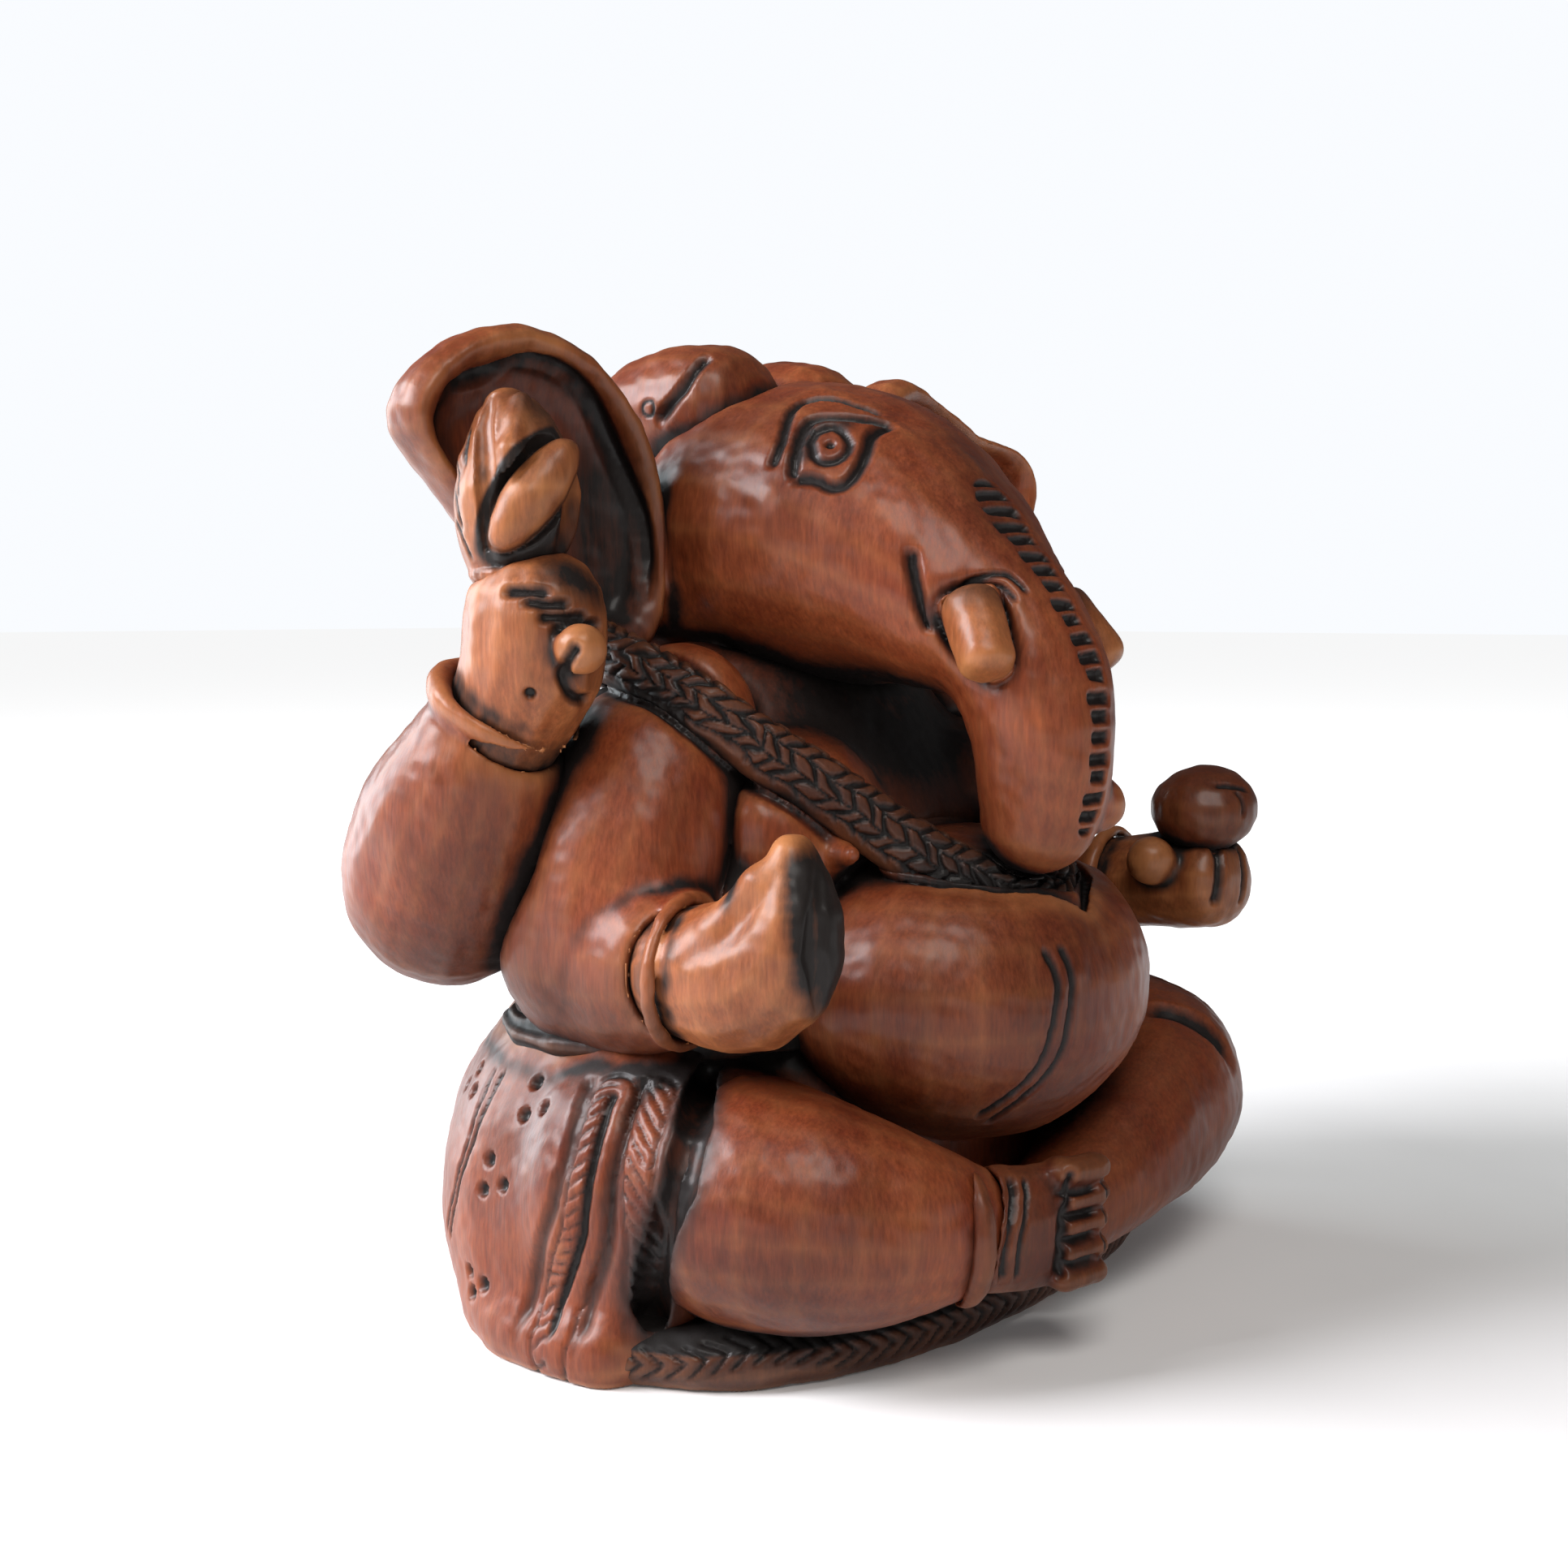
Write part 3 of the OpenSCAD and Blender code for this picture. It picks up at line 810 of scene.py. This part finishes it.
def carve_crown():
    work = Carving("crown", 0.28, 0.5)
    work.to_mesh()
    for side in (here, across_head):
        for x in (0.06, 0.26, 0.36):
            work.groove(on("crown", [(x, 0.6, 0.97), (x, 0.9, 0.75), (x, 1.0, 0.4)], side), 0.9, 0.4, 0.7)
        work.groove(on("crown", HAIR_FOLD, side), 1.8, 1.0, 0.9)
        work.groove(on("crown", HAIR_BACK, side), 1.3, 0.7, 0.8)
        work.groove(work.oval(side(at("crown", 0.01, 0.37, 0.73)), 0.9, 0.9), 0.6, 0.3, closed=True)
    done(work)


# The mirrored pieces are drawn with the right one's places, carried over by the side they are given
EAR_FOLD = [(0.14, 0.5, 0.77), (0.32, 0.59, 0.86), (0.42, 0.42, 0.9), (0.6, 0.32, 0.86), (0.8, 0.3, 0.64),
            (0.87, 0.18, 0.44), (0.88, 0.11, 0.2)]
EAR_HOLLOW = [(0.78, 0.42, 0.5), (0.8, 0.42, 0.3), (0.8, 0.42, 0.1)]


def carve_ear(node, side):
    work = Carving(node, 0.28, 0.5)
    work.to_mesh()
    work.groove(on("right_ear", EAR_FOLD, side), 2.6, 1.2, 0.9, taper=6)
    # Painted shade in the ear's hollow
    work.paint_shade(on("right_ear", EAR_HOLLOW, side), 9, 0.75)
    done(work)


# Hands, buds and sweet

FIST = [((0.07, 0.44, 0.83), (0.24, 0.25, 0.82)), ((0.11, 0.35, 0.78), (0.36, 0.2, 0.77)),
        ((0.14, 0.29, 0.72), (0.48, 0.17, 0.72)), ((0.22, 0.24, 0.67), (0.63, 0.19, 0.68))]
THUMB_FOLD = [(0.18, 0.05, 0.62), (0.15, 0.1, 0.56), (0.32, 0.24, 0.47), (0.43, 0.24, 0.39),
              (0.63, 0.27, 0.38)]


def lean_back(p):
    """The place on the left hand or bud that matches one on the right."""
    lean = middle("left_bud")[1] - middle("right_bud")[1]
    return across_body(p) + np.array([0, lean, 0])


def carve_raised_hand(node, side):
    work = Carving(node, 0.25, 0.45)
    work.to_mesh()
    for left, right in FIST:
        half = (np.array(left) + np.array(right)) / 2
        work.groove(on("upper_right_hand", [left, half, right], side), 1.5, 1.0)
    work.groove(on("upper_right_hand", THUMB_FOLD, side), 1.6, 0.9)
    work.dimple(side(at("upper_right_hand", 0.15, 0.34, 0.41)), 0.6, 0.6)
    # Painted shade on the top of the fist, under the bud and the ear
    work.paint_shade(on("upper_right_hand", [(0.35, 0.2, 0.95), (0.7, 0.12, 0.85)], side), 4.5, 0.95)
    done(work)


SLIT = [(0.3, 0.62, 0.97), (0.14, 0.54, 0.82), (0.03, 0.42, 0.61), (0.02, 0.4, 0.43), (0.08, 0.46, 0.28)]
FRONT_RIDGE = [(0.42, 0.4, 0.92), (0.2, 0.29, 0.7), (0.14, 0.3, 0.45), (0.2, 0.38, 0.25)]
BACK_RIDGE = [(0.36, 0.7, 0.86), (0.22, 0.74, 0.66), (0.14, 0.6, 0.42)]
FOOT_CUT = [(0.62, 0.0, 0.2), (0.9, -0.05, 0.75)]
VEINS = ((0.8, 0.84), (0.84, 0.7), (0.8, 0.56), (0.76, 0.42))


def carve_bud(node, side):
    """A tall petal with a slit down it, ridges beside the slit, and a smaller petal in a moat on its face."""
    work = Carving(node, 0.25, 0.4)
    base = side(at("right_bud", 0.14, 0.37, 0.3))
    tip = side(at("right_bud", 0.64, 0.1, 0.72))
    up = unit(tip - base)
    face = unit(side(at("right_bud", -0.4, -0.3, 0.5)) - side(at("right_bud", 0.3, 0.2, 0.5)))
    wide = unit(np.cross(up, face))
    turn = np.stack([wide, np.cross(up, wide), up], 1)
    work.gouge(on("right_bud", FRONT_RIDGE, side), (1.0, 1.5, 1.5, 1.2), 0.4, add=True)
    work.gouge(on("right_bud", BACK_RIDGE, side), (1.1, 1.5, 1.3), 0.4, add=True)
    work.gouge(on("right_bud", SLIT, side), (0.9, 1.2, 1.3, 1.1, 0.5), 0.25)
    work.gouge(on("right_bud", FOOT_CUT, side), (2.6, 3.4), 0.3)
    heart = (base + tip) / 2
    work.blob(heart + face * 1.6, (4.0, 2.4, 8.0), 0.2, turn, add=False)
    work.blob(heart + face * 0.7, (2.8, 2.4, 6.8), 0.2, turn)
    collar = side(at("right_bud", 0.48, 0.52, 0.16))
    ring = [collar + 4.0 * np.array([math.cos(a), math.sin(a), 0]) for a in np.linspace(0, 2 * math.pi, 25)]
    work.gouge(ring, 0.75, 0.3, add=True)
    work.to_mesh()
    # Painted shade down the slit
    work.paint_shade(on("right_bud", SLIT, side), 1.9, 0.97)
    gap = work.points - heart
    across, out, along = gap @ wide, gap @ face, gap @ up
    moat = np.hypot(across / 4.2, along / 8.2)
    petal = np.hypot(across / 2.6, along / 6.6)
    # Painted shade in the moat round the small petal
    work.stain_and_shade = 0.9 * ramp(moat, 1.08, 0.98) * ramp(petal, 0.98, 1.1) * (out > -1.5)
    # Painted shade on the rear petal, and a painted shadow where the bud meets the hand and the ear
    work.paint_shade(on("right_bud", [(0.5, 0.3, 0.98), (0.75, 0.2, 0.8)], side), 5, 0.55)
    work.paint_shade(on("right_bud", [(0.45, 0.1, 0.15), (0.85, 0.0, 0.4)], side), 4, 0.97)
    for y, z in VEINS:
        vein = [(0.16, y, z), (0.08, y - 0.06, z - 0.1), (0.06, y - 0.12, z - 0.2)]
        work.groove(on("right_bud", vein, side), 0.7, 0.3)
    done(work)


def carve_lower_right_hand():
    node = "lower_right_hand"
    work = Carving(node, 0.25, 0.45)
    ridge = [(0.2, 0.62, 0.42), (0.3, 0.47, 0.56), (0.38, 0.29, 0.77), (0.5, 0.2, 0.9)]
    work.gouge(on(node, ridge), (2.6, 2.4, 2.0, 1.2), 1.0, add=True)
    hollow = [(0.62, 0.08, 0.93), (0.4, 0.0, 0.7), (0.34, 0.0, 0.49), (0.52, 0.04, 0.24)]
    work.gouge(on(node, hollow), (0.9, 1.5, 1.6, 1.0), 0.3)
    work.gouge(on(node, [(0.98, 0.1, 1.05), (0.95, 0.0, 0.7)]), (3.4, 2.0), 0.5)
    work.to_mesh()
    # Painted shade over the front of the hand, where the palm is in shadow
    work.paint_shade(on(node, [(0.38, 0.1, 0.87), (0.3, 0.07, 0.6), (0.34, 0.06, 0.4)]), 2.4, 1.0)
    work.paint_shade(on(node, [(0.62, 0.05, 0.87), (0.56, 0.0, 0.6), (0.56, 0.0, 0.3)]), 4.4, 1.0)
    work.paint_shade(on(node, [(0.95, 0.1, 0.9), (0.9, 0.05, 0.6), (0.9, 0.1, 0.3)]), 4.5, 0.9)
    done(work)


def carve_lower_left_hand():
    node = "lower_left_hand"
    work = Carving(node, 0.25, 0.45)
    work.to_mesh()
    work.groove(on(node, [(0.41, 0.09, 0.95), (0.38, 0.07, 0.7), (0.34, 0.06, 0.35)]), 1.7, 0.9)
    work.groove(on(node, [(0.73, 0.04, 0.95), (0.68, 0.02, 0.7), (0.62, 0.01, 0.35)]), 1.4, 0.8)
    done(work)


def carve_sweet():
    node = "sweet_ball"
    work = Carving(node, 0.25, 0.4)
    work.to_mesh()
    # Painted shade: the whole sweet is darkened
    work.stain_and_shade += 0.25
    work.groove(on(node, [(0.2, 0.25, 0.85), (0.35, 0.12, 0.82), (0.5, 0.05, 0.75)]), 1.0, 0.5)
    work.groove(on(node, [(0.33, 0.12, 0.8), (0.36, 0.05, 0.6), (0.34, 0.05, 0.45)]), 0.9, 0.4, 0.7)
    done(work)


# Garland and cord

GARLAND = [(0.32, 0.92, 0.81), (0.16, 0.84, 0.87), (0.07, 0.72, 0.88), (0.05, 0.61, 0.83), (0.07, 0.48, 0.72),
           (0.13, 0.41, 0.61), (0.2, 0.32, 0.47), (0.29, 0.23, 0.32), (0.39, 0.12, 0.18)]


def beads(along, angle):
    """Rows of small knots pressed together, with a smooth lip under them."""
    row = angle / 0.7 + 0.12 * np.sin(0.9 * along)
    pace = along + 0.35 * np.sin(0.55 * along) + 0.3 * np.sin(1.7 * along + 3 * np.floor(row))
    slant = np.where(np.floor(row) % 2 == 0, 0.8, -0.8) * (row % 1)
    notch = ramp(off_middle(pace / 2.3 + slant), 0.26, 0.06)
    edge = ramp(off_middle(row), 0.375, 0.5)
    lip = ramp(angle, -0.75, -1.0) * ramp(angle, -2.0, -1.75)
    cut = 0.55 * np.maximum(notch, edge) * (1 - lip)
    return cut, np.clip(0.35 + 1.2 * cut, 0, 1) * (1 - 0.35 * lip)


def carve_garland():
    work = Carving("garland", 0.28, 0.3)
    work.field += 0.8
    work.to_mesh()
    left = [(1 - x, y, z) for x, y, z in reversed(GARLAND)]
    loop = on("garland", [(0.5, 0.95, 0.77), *GARLAND, (0.5, 0.05, 0.12), *left])
    work.wound(loop, beads)
    done(work)


def cord_lines(along, angle):
    """Five strands laid side by side, with a slow twist."""
    cut = 0.5 + 0.5 * np.cos(5 * angle + 0.1 * along)
    return 0.35 * cut, 0.35 + 0.6 * cut


def carve_cord():
    work = Carving("waist_cord", 0.3, 0.35)
    work.field -= 0.25
    work.to_mesh()
    turns = np.linspace(0, 2 * math.pi, 25)[:-1]
    loop = [at("waist_cord", 0.5 + 0.47 * math.cos(a), 0.5 + 0.45 * math.sin(a), 0.52) for a in turns]
    work.wound(loop, cord_lines)
    done(work)


# Body

CHEST_FOLD = [(0.09, 0.22, 0.58), (0.09, 0.19, 0.47), (0.09, 0.15, 0.4)]
THREAD = [(0.3, 0.07, 0.7), (0.31, 0.05, 0.59), (0.3, 0.05, 0.5), (0.29, 0.07, 0.37), (0.26, 0.14, 0.26),
          (0.23, 0.23, 0.18)]
INNER_THREAD = [(0.34, 0.05, 0.7), (0.35, 0.03, 0.59), (0.34, 0.03, 0.49), (0.33, 0.05, 0.36),
                (0.3, 0.12, 0.25), (0.27, 0.23, 0.15)]


def carve_torso():
    work = Carving("torso", 0.38, 1.2)
    for side in (here, across_body):
        base = side(at("torso", 0.24, 0.08, 0.46))
        point = side(at("torso", 0.2, -0.04, 0.47))
        work.gouge([base, point], (3.2, 0.8), 0.8, add=True)
    work.to_mesh()
    # Painted shade on the upper chest under the jaw and inside the garland, and in the chest folds
    work.paint_shade(on("torso", [(0.3, 0.15, 0.85), (0.5, 0.1, 0.7), (0.7, 0.15, 0.85)]), 10.5, 0.95)
    for side in (here, across_body):
        work.paint_shade(on("torso", CHEST_FOLD, side), 2.4, 0.9)
    done(work)


def carve_belly():
    work = Carving("belly", 0.32, 1.9)
    work.field -= 0.1
    work.to_mesh()
    work.groove(on("belly", THREAD), 1.1, 0.55)
    work.groove(on("belly", INNER_THREAD), 1.1, 0.55)
    done(work)


# Hip wrap, legs and plinth

# Heights in mm between which the bare edge at the very bottom gives way to stain
RAW_EDGE = (0.9, 0.5)
STRIPE = [(0.06, 0.36, 0.87), (0.02, 0.35, 0.75), (0.0, 0.36, 0.56), (0.02, 0.42, 0.34), (0.02, 0.44, 0.16),
          (0.02, 0.46, 0.05)]
LEAF_BAND = [(0.05, 0.3, 0.84), (0.02, 0.3, 0.66), (0.0, 0.31, 0.46), (0.03, 0.37, 0.22), (0.01, 0.37, 0.14),
             (0.01, 0.38, 0.05)]
SECOND_STRIPE = [(0.08, 0.27, 0.87), (0.03, 0.25, 0.68), (0.01, 0.26, 0.45), (0.03, 0.31, 0.24),
                 (0.02, 0.31, 0.15), (0.02, 0.33, 0.05)]
ROPE_BAND = [(0.08, 0.24, 0.85), (0.03, 0.2, 0.7), (0.02, 0.2, 0.46), (0.04, 0.26, 0.25), (0.03, 0.27, 0.15),
             (0.03, 0.29, 0.05)]
ROPE_RIDGE = [(0.12, 0.24, 0.82), (0.066, 0.19, 0.67), (0.062, 0.205, 0.46), (0.08, 0.257, 0.2)]
BACK_LINE = [(0.08, 0.61, 0.84), (0.06, 0.62, 0.73), (0.04, 0.64, 0.55), (0.05, 0.7, 0.31)]
DOTS = [(0.07, 0.5, 0.82), (0.04, 0.44, 0.78), (0.05, 0.5, 0.74), (0.04, 0.57, 0.6), (0.03, 0.58, 0.51),
        (0.03, 0.52, 0.54), (0.03, 0.62, 0.24), (0.03, 0.57, 0.21), (0.03, 0.6, 0.16), (0.1, 0.7, 0.81),
        (0.08, 0.69, 0.75), (0.1, 0.74, 0.76)]
LEG_EDGE = [(0.46, 0.72, 0.97), (0.14, 0.58, 0.86), (0.03, 0.56, 0.65), (0.04, 0.64, 0.33),
            (0.17, 0.74, 0.02)]
LEG_BACK = [(0.255, 0.764, 0.89), (0.076, 0.72, 0.68), (0.06, 0.745, 0.39), (0.13, 0.8, 0.11)]


def leaf_pattern(front):
    """A row of leaf veins beside a deep line, with a smooth rib on its front side."""

    def pattern(along, across, _):
        ahead = front * across
        veins = ramp(off_middle((along + 0.9 * ahead) / 1.7), 0.26, 0)
        hatch = veins * ramp(np.abs(ahead + 1.6), 1.2, 0.9)
        spine = ramp(np.abs(ahead), 0.715, 0.165)
        edge = ramp(np.abs(np.abs(ahead) - 2.5), 0.4, 0)
        cut = np.maximum(np.maximum(0.35 * hatch, 0.8 * spine), 0.35 * edge)
        return cut, np.clip(np.maximum(1.4 * spine, 1.9 * cut * (1 - spine)), 0, 1)

    return pattern


def rope_pattern(front):
    """A rope of slanting strands."""

    def pattern(along, across, _):
        strands = ramp(off_middle((along - 1.2 * front * across) / 2.0), 0.24, 0)
        hatch = strands * ramp(np.abs(across), 1.9, 1.6)
        edge = ramp(np.abs(np.abs(across) - 1.9), 0.45, 0)
        cut = 0.4 * np.maximum(hatch, edge)
        return cut, np.clip(1.7 * cut, 0, 1)

    return pattern


def add_leg_backs(work):
    """The cloth wraps over the back of each leg, behind the groove."""
    edge = at("right_leg", *LEG_EDGE[2])
    foot = at("right_leg", *LEG_EDGE[4])
    drop = (edge[2] - np.minimum(work.rows(2), edge[2])) / (edge[2] - foot[2])
    line = edge[1] + (foot[1] - edge[1]) * drop
    ahead = (line[None, None, :] + 1.0 - work.rows(1)[None, :, None]).astype(np.float32)
    for node in ("right_leg", "left_leg"):
        leg = work.neighbour(node, 2, 0.35)
        work.field = smooth_min(work.field, smooth_max(leg, ahead, 1.0), 1.5)


def carve_hip():
    """The wrap, made fuller under its rope band and run out over the plinth behind."""
    work = Carving("hip_wrap", 0.36, 1.8)
    work.field -= 0.3
    for side in (here, across_body):
        work.gouge(on("hip_wrap", ROPE_RIDGE, side), 4.2, 2.0, add=True)
    add_leg_backs(work)
    fillet = smooth_min(work.field, work.neighbour("plinth", 4, 0.35), 5.0)
    front = at("plinth", 0, 0.29, 0)[1]
    share = ramp(work.rows(1), front, front + 5).astype(np.float32)
    work.field += np.minimum(fillet - work.field, 0) * share[None, :, None]
    work.field = blurred(work.field, 3)
    for side in (here, across_body):
        work.gouge(on("right_leg", LEG_EDGE, side), 1.8, 0.5)
    work.to_mesh()
    height = work.points[:, 2]
    under_cord = at("hip_wrap", 0, 0, 0.82)[2]
    # Below the cord the painted shade of creases and hollows is left off
    work.crease_shade_share = ramp(height, under_cord, under_cord + 3)
    hem = ramp(work.points[:, 1], front + 2, front + 5)
    work.rubbed = hem * ramp(height, *RAW_EDGE)
    for side, front_sign in ((here, 1), (across_body, -1)):
        # Painted shade in the groove between the wrap and each leg
        work.paint_shade(on("right_leg", LEG_EDGE, side), 5.0, 1.0)
        work.groove(on("hip_wrap", STRIPE, side), 2.0, 0.65, 0.65)
        work.groove(on("hip_wrap", SECOND_STRIPE, side), 2.0, 0.65, 0.65)
        work.band(on("hip_wrap", LEAF_BAND, side), 3.0, leaf_pattern(front_sign))
        work.band(on("hip_wrap", ROPE_BAND, side), 2.5, rope_pattern(front_sign))
        work.groove(on("hip_wrap", BACK_LINE, side), 0.8, 0.45)
        work.groove([p + np.array([0, 1.5, 0]) for p in on("hip_wrap", BACK_LINE, side)], 0.8, 0.45)
        for dot in DOTS:
            work.dimple(side(at("hip_wrap", *dot)), 0.75, 0.8)
    for x in (0.36, 0.5, 0.64):
        work.groove(on("hip_wrap", [(x, 1.0, 0.85), (x, 1.0, 0.5), (x, 1.0, 0.2)]), 1.1, 0.5, 0.8)
    done(work)


KNEE_GAP = [(0.6, 0.29, 0.92), (0.64, 0.22, 0.9), (0.68, 0.14, 0.83), (0.7, 0.09, 0.75), (0.72, 0.06, 0.65)]
KNEE_HEM = [(0.78, 0.38, 0.98), (0.81, 0.29, 0.94), (0.87, 0.22, 0.84), (0.9, 0.18, 0.7)]


def carve_leg(node, side):
    """A folded leg, cut back behind the groove where the cloth lies over it."""
    work = Carving(node, 0.34, 1.8)
    back = on("right_leg", LEG_BACK, side)
    work.gouge(back, (4.2, 5.0, 5.0, 4.6), 0.5)
    work.gouge(on("right_leg", LEG_EDGE, side), 1.8, 0.5)
    work.to_mesh()
    # Painted shade along the groove and over the leg's back under the cloth
    work.paint_shade(on("right_leg", LEG_EDGE, side), 4.2, 1.0)
    work.paint_shade(back, 7, 1.0)
    # A painted shadow along the bottom, where the leg meets the plinth
    bottom = corner_mm(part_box(node)[0])[2]
    work.stain_and_shade = np.maximum(work.stain_and_shade, 0.97 * ramp(work.points[:, 2], bottom + 2.6, bottom + 0.6))
    return work


def carve_left_leg():
    work = carve_leg("left_leg", across_body)
    # Painted shade, darker towards the front of the far leg
    work.stain_and_shade = np.maximum(work.stain_and_shade, 0.3 * ramp(work.points[:, 1], 12, -8))
    work.groove(on("left_leg", KNEE_GAP), 3.8, 1.2, 1.0, taper=4)
    work.groove(on("left_leg", KNEE_HEM), 1.2, 0.5, 0.9)
    done(work)


ANKLET = [(0.39, 0.37, 0.86), (0.33, 0.29, 0.73), (0.22, 0.26, 0.44), (0.27, 0.33, 0.2)]
SECOND_ANKLET = [(0.48, 0.33, 0.84), (0.42, 0.26, 0.7), (0.33, 0.22, 0.44), (0.36, 0.3, 0.2)]


def carve_foot():
    node = "right_foot"
    work = Carving(node, 0.2, 0.25)
    work.gouge(on(node, [(0.72, 0.24, 0.82), (0.72, 0.24, 0.16)]), 1.7, 0.5, add=True)
    work.to_mesh()
    for z in (0.72, 0.56, 0.4, 0.24):
        work.groove(on(node, [(0.6, 0.15, z), (0.72, 0.08, z), (0.86, 0.03, z)]), 1.1, 0.7)
    work.groove(on(node, [(0.68, 0.14, 0.85), (0.62, 0.13, 0.5), (0.6, 0.16, 0.15)]), 1.5, 0.8)
    work.groove(on(node, [(0.92, 0.06, 0.8), (0.93, 0.04, 0.5), (0.92, 0.06, 0.2)]), 0.9, 0.5)
    work.groove(on(node, ANKLET), 1.4, 0.8)
    work.groove(on(node, SECOND_ANKLET), 1.0, 0.5)
    # Painted shade on the top of the foot under the leg, and over the whole foot
    work.paint_shade(on(node, [(0.5, 0.3, 1.0), (0.3, 0.3, 0.95)]), 3, 0.8)
    work.stain_and_shade = np.maximum(work.stain_and_shade, 0.36)
    done(work)


def rim_leaves(along, across, _):
    """Pairs of slanting cuts that meet along the middle of the rim, like leaves on a stem."""
    veins = ramp(off_middle((along + 1.3 * np.abs(across)) / 2.3), 0.25, 0)
    hatch = veins * ramp(np.abs(across), 1.9, 1.5)
    return 0.4 * hatch, 0.25 + 0.65 * hatch


def carve_plinth():
    work = Carving("plinth", 0.34, 0.4)
    work.to_mesh()
    turns = np.linspace(0, 2 * math.pi, 29)[:-1]
    loop = [at("plinth", 0.5 + 0.5 * math.cos(a), 0.5 + 0.5 * math.sin(a), 0.5) for a in turns]
    work.band(loop, 2.2, rim_leaves, closed=True)
    raw = ramp(work.points[:, 2], *RAW_EDGE)
    top = ramp(work.normals[:, 2], 0.3, 0.6)
    work.stain_and_shade = np.maximum(work.stain_and_shade, 0.97 * top) * (1 - raw)
    work.rubbed = raw
    done(work)


carve_head()
carve_crown()
carve_ear("right_ear", here)
carve_ear("left_ear", across_head)
carve_raised_hand("upper_right_hand", here)
carve_raised_hand("upper_left_hand", lean_back)
carve_bud("right_bud", here)
carve_bud("left_bud", lean_back)
carve_lower_right_hand()
carve_lower_left_hand()
carve_sweet()
carve_garland()
carve_cord()
carve_torso()
carve_belly()
carve_hip()
carve_left_leg()
carve_foot()
carve_plinth()
done(carve_leg("right_leg", here))
carve_arm("lower_right_arm", 0.33, 1.1)
carve_arm("lower_left_arm", 0.35, 1.1)
carve_arm("upper_right_arm", 0.33, 1.0)
carve_arm("upper_left_arm", 0.35, 1.0)
carve_tusk("right_tusk")
carve_tusk("left_tusk")


# ---- Floor, light and camera ----

# What the lights point at, where the camera stands (both in metres), how it is turned and its lens in mm
AIM = (0, 0, 0.05)
CAMERA_PLACE = (-0.1905, -0.1384, 0.078)
CAMERA_PITCH = 85.06
CAMERA_HEADING = -52
LENS = 46.6


def pale_floor():
    """A pale floor with a painted glow that grows brighter far out, like a lit studio sweep."""
    n = Nodes("pale_floor")
    place = n.add("ShaderNodeTexCoord").outputs["Object"]
    mottle = n.noise(place, 40.0)
    tint = n.mixed(n.span(mottle, 0.3, 0.7), (0.86, 0.86, 0.86, 1), (0.84, 0.84, 0.84, 1))
    away = n.add("ShaderNodeVectorMath", {0: place}, operation="LENGTH").outputs["Value"]
    # Painted light: the floor glows more the further it lies from the figure
    glow = n.span(away, 0.1, 0.5, 0.06, 0.85)
    white = (1.0, 1.0, 1.0, 1)
    shader = n.add(
        "ShaderNodeBsdfPrincipled",
        {"Base Color": tint, "Roughness": 0.6, "Emission Color": white, "Emission Strength": glow},
    )
    out = n.add("ShaderNodeOutputMaterial")
    n.put(out.inputs["Surface"], shader.outputs[0])
    return n.material


def make_floor():
    mesh = bpy.data.meshes.new("floor")
    half = 6.0
    corners = [(-half, -half, 0), (half, -half, 0), (half, half, 0), (-half, half, 0)]
    mesh.from_pydata(corners, [], [(0, 1, 2, 3)])
    mesh.materials.append(pale_floor())
    floor = bpy.data.objects.new("floor", mesh)
    bpy.context.scene.collection.objects.link(floor)


def make_light(name, place, size, power, colour):
    data = bpy.data.lights.new(name, "AREA")
    data.shape = "RECTANGLE"
    data.size, data.size_y = size
    data.energy = power
    data.color = colour
    lamp = bpy.data.objects.new(name, data)
    bpy.context.scene.collection.objects.link(lamp)
    lamp.location = place
    lamp.rotation_euler = (Vector(AIM) - Vector(place)).to_track_quat("-Z", "Y").to_euler()


def make_world(strength, backdrop):
    """Dim light from all round, in front of a white backdrop."""
    world = bpy.data.worlds.new("room")
    world.use_nodes = True
    tree = world.node_tree
    tree.nodes.clear()
    path = tree.nodes.new("ShaderNodeLightPath")
    level = tree.nodes.new("ShaderNodeMapRange")
    background = tree.nodes.new("ShaderNodeBackground")
    out = tree.nodes.new("ShaderNodeOutputWorld")
    level.inputs[3].default_value = strength
    level.inputs[4].default_value = backdrop
    background.inputs["Color"].default_value = (0.95, 0.97, 1.0, 1)
    tree.links.new(path.outputs["Is Camera Ray"], level.inputs[0])
    tree.links.new(level.outputs[0], background.inputs["Strength"])
    tree.links.new(background.outputs[0], out.inputs["Surface"])
    bpy.context.scene.world = world


def make_camera():
    data = bpy.data.cameras.new("camera")
    data.sensor_width = 36
    data.lens = LENS
    data.clip_start = 0.01
    data.clip_end = 50
    camera = bpy.data.objects.new("camera", data)
    bpy.context.scene.collection.objects.link(camera)
    camera.location = CAMERA_PLACE
    camera.rotation_euler = (math.radians(CAMERA_PITCH), 0, math.radians(CAMERA_HEADING))
    bpy.context.scene.camera = camera


make_floor()
make_world(0.09, 1.0)
make_light("window", (-0.5, 0.42, 0.45), (0.4, 0.4), 11.5, (0.97, 0.96, 1.0))
make_light("doorway", (-0.1, 0.75, 0.22), (0.4, 0.5), 5, (0.85, 0.95, 1.0))
make_light("fill", (-0.42, -0.42, 0.72), (0.4, 0.4), 4.5, (1.0, 0.96, 0.92))
bpy.context.scene.view_settings.view_transform = "Standard"
make_camera()
